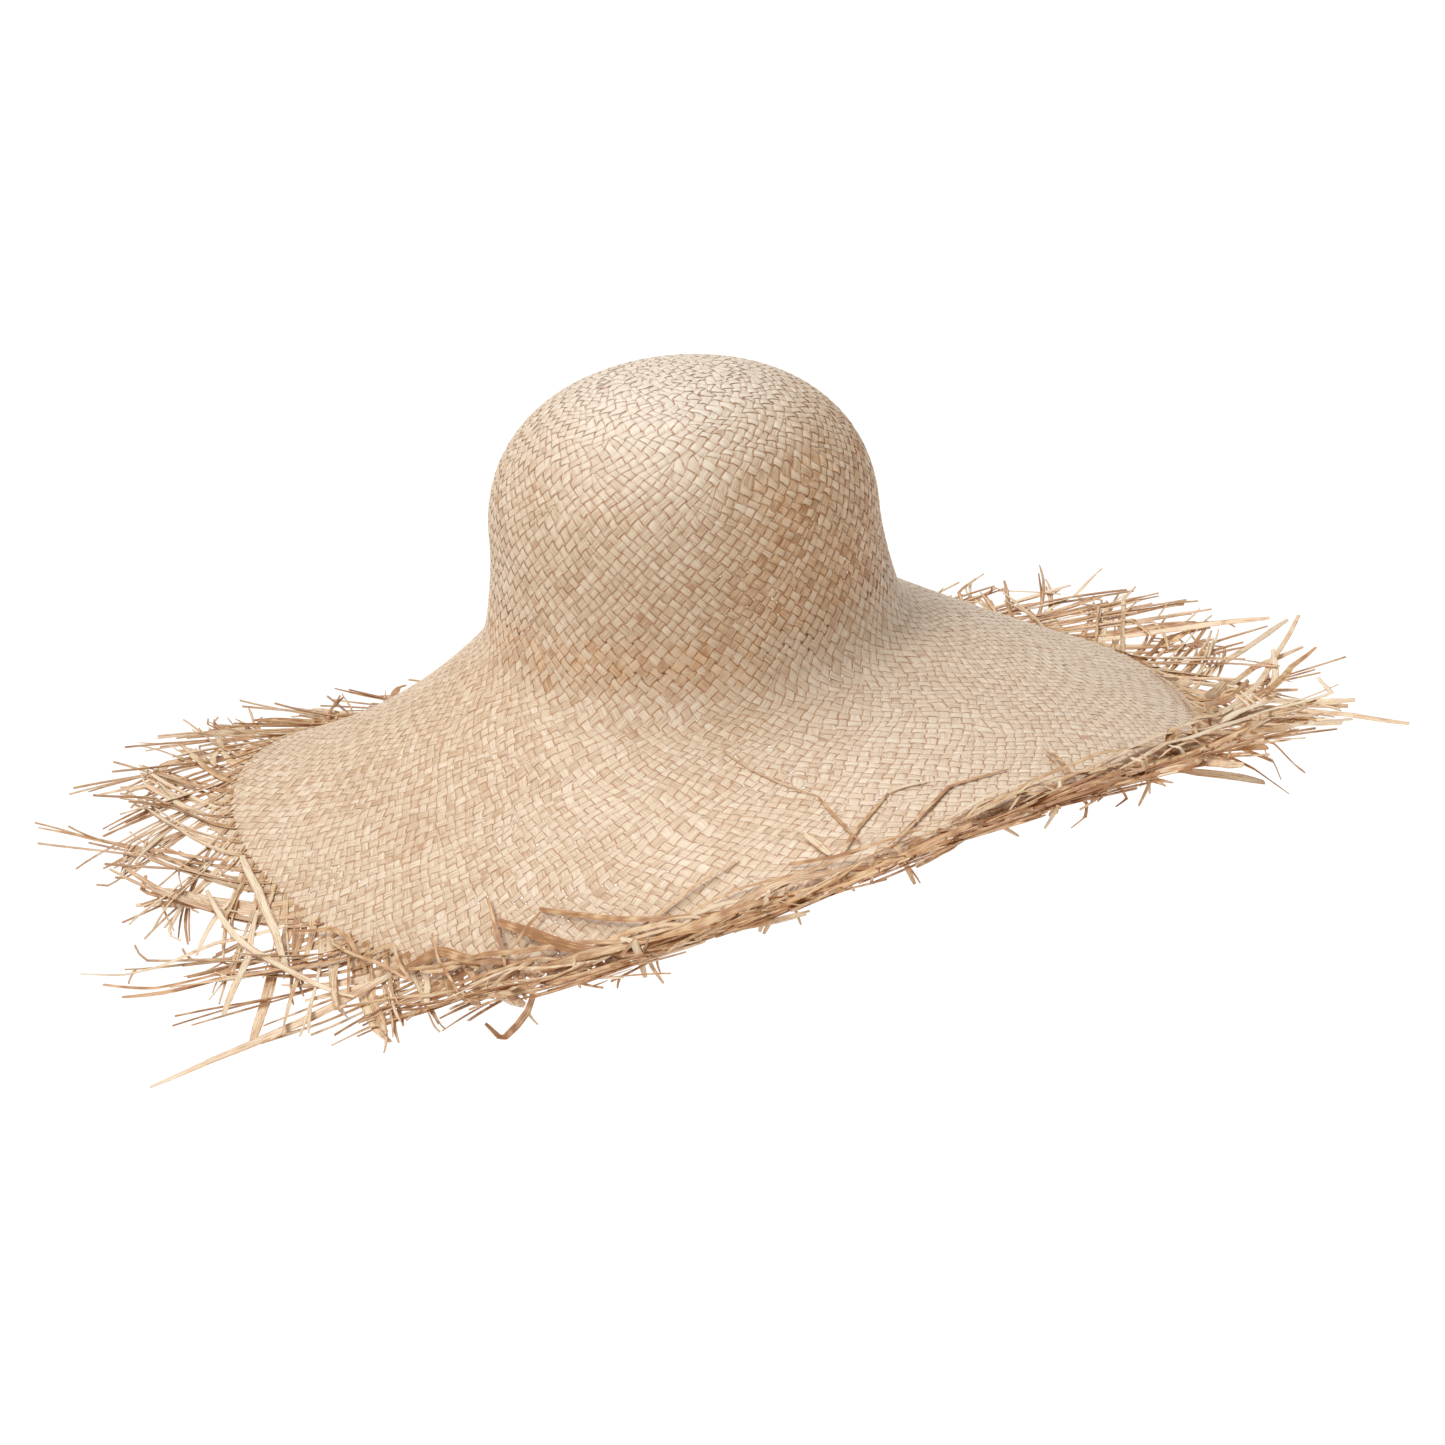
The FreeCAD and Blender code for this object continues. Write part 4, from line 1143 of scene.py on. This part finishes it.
def make_label(name, size, node):
    """Blank label with rounded edges and a border rib, curved along the ribbon."""
    width, height, middle, half_turn = label_stations(size)
    across = np.linspace(-1.0, 1.0, LABEL_COLUMNS)
    up = np.linspace(-1.0, 1.0, LABEL_ROWS)
    rows = np.concatenate([up, up[::-1]])
    face = np.repeat([1.0, -1.0], LABEL_ROWS)
    u, v = np.meshgrid(across, rows, indexing="ij")
    inner_face = np.repeat(face[None], len(across), 0)
    near_rim = np.maximum(np.abs(u) ** 12, np.abs(v) ** 12)
    rib = 0.06 * MM * np.exp(-((np.maximum(np.abs(u), np.abs(v)) - 0.86) / 0.04) ** 2)
    half = 0.5 * LABEL_THICKNESS * (1.0 - 0.75 * near_rim)
    bow = 0.12 * MM * np.sin(3.0 * u + 1.0) * (1.0 - np.abs(v))
    raised = np.where(inner_face > 0, rib, 0.0)
    inset = LABEL_GAP + 0.5 * LABEL_THICKNESS + inner_face * (half + raised)
    inset = inset + np.maximum(bow, 0.0)
    level = LABEL_HEIGHT + 0.5 * height * v
    places = band_point(middle + half_turn * u, level, inset)
    grain = np.stack([u * 0.5 * width / MM, v * 0.5 * height / MM, 0.0 * u], -1)
    mesh = grid_mesh(name, places, grain, False, True)
    rim_low = list(range(2 * LABEL_ROWS))
    rim_high = [i + (LABEL_COLUMNS - 1) * 2 * LABEL_ROWS for i in rim_low]
    close_ends(mesh, rim_low, rim_high)
    label = make_piece(name, mesh, label_paint, "label_tape", node)


def close_ends(mesh, first, last):
    """Join the front and back of a flat shell along its first and last rows."""
    shell = bmesh.new()
    shell.from_mesh(mesh)
    shell.verts.ensure_lookup_table()
    for rim, flip in ((first, True), (last, False)):
        half = len(rim) // 2
        for i in range(half - 1):
            corners = [rim[i], rim[i + 1], rim[-2 - i], rim[-1 - i]]
            corners = corners[::-1] if flip else corners
            shell.faces.new([shell.verts[c] for c in corners])
    bmesh.ops.recalc_face_normals(shell, faces=shell.faces)
    shell.to_mesh(mesh)
    shell.free()
    shade_smooth(mesh)


def make_label_stitches():
    share = np.linspace(0.0, 1.0, 6)
    dip = 0.25 * MM * (2.0 * share - 1.0) ** 4
    inset = LABEL_GAP + LABEL_THICKNESS + 0.5 * THREAD_DIAMETER
    runs = []
    for size in (MAKER_LABEL, SIZE_LABEL):
        width, height, middle, half_turn = label_stations(size)
        count = int(height / LABEL_STITCH_PITCH)
        for end in (-1.0, 1.0):
            azimuth = middle + end * half_turn * (1.0 - 2.0 * LABEL_STITCH_INSET / width)
            for i in range(count):
                low = LABEL_HEIGHT - 0.5 * height + (i + 0.25) * height / count
                level = low + share * LABEL_STITCH_LENGTH
                places = band_point(np.full(len(share), azimuth), level, inset - dip)
                runs.append(thread_run(places, -outward(azimuth)))
    make_thread("label_stitch_columns", runs, "label_stitches")


make_weave()
make_start_square()
make_fringe()
make_single_straws()
make_sweatband()
make_stitches()
make_label("maker_label_blank", MAKER_LABEL, "maker_label")
make_label("size_label_blank", SIZE_LABEL, "size_label")
make_label_stitches()

# ---- camera, lights and floor --------------------------------------------------------
CAMERA_DISTANCE = 2.3
CAMERA_ELEVATION = math.radians(22.2)
CAMERA_ROLL = math.radians(5.5)
CAMERA_LENS = 126.0
AIM = (0.0128, -0.0449)         # middle of the picture from the origin, right and up
SENSOR_WIDTH = 36.0
FLOOR_LEVEL = -0.9
FLOOR_REACH = 40.0
WORLD_STRENGTH = 0.42
# Each lamp: name, direction from the hat to it, strength, softness in degrees, colour.
LAMPS = (("key", (-0.43, -0.34, 0.84), 1.42, 20.0, (1.0, 0.99, 0.975)),
         ("top", (-0.22, 0.42, 0.88), 1.22, 35.0, (0.99, 0.995, 1.0)))


def make_camera():
    data = bpy.data.cameras.new("camera")
    data.lens = CAMERA_LENS
    data.sensor_width = SENSOR_WIDTH
    camera = add_object("camera", data)
    tilt = Matrix.Rotation(math.pi / 2 - CAMERA_ELEVATION, 4, "X")
    turn = tilt @ Matrix.Rotation(-CAMERA_ROLL, 4, "Z")
    place = turn @ Vector((*AIM, CAMERA_DISTANCE))
    camera.matrix_world = Matrix.Translation(place) @ turn
    bpy.context.scene.camera = camera


def sun(name, toward, strength, softness, colour):
    """A soft distant lamp; toward points from the hat to the lamp."""
    data = bpy.data.lights.new(name, "SUN")
    data.energy = strength
    data.angle = math.radians(softness)
    data.color = colour
    lamp = add_object(name, data)
    lamp.rotation_euler = (-Vector(toward)).to_track_quat("-Z", "Y").to_euler()


def make_studio():
    bpy.context.scene.view_settings.view_transform = "Standard"
    world = bpy.data.worlds.new("studio")
    world.use_nodes = True
    backdrop = world.node_tree.nodes["Background"]
    backdrop.inputs["Color"].default_value = (1.0, 1.0, 1.0, 1.0)
    backdrop.inputs["Strength"].default_value = WORLD_STRENGTH
    bpy.context.scene.world = world
    for lamp in LAMPS:
        sun(*lamp)
    mesh = bpy.data.meshes.new("floor")
    corners = [(x * FLOOR_REACH, y * FLOOR_REACH, FLOOR_LEVEL)
               for x, y in ((-1, -1), (1, -1), (1, 1), (-1, 1))]
    mesh.from_pydata(corners, [], [(0, 1, 2, 3)])
    floor = add_object("floor", mesh)
    paint = Paint("floor")
    paint.give(Base_Color=(0.97, 0.97, 0.97, 1.0), Roughness=1.0, Specular_IOR_Level=0.0)
    mesh.materials.append(paint.material)


make_camera()
make_studio()
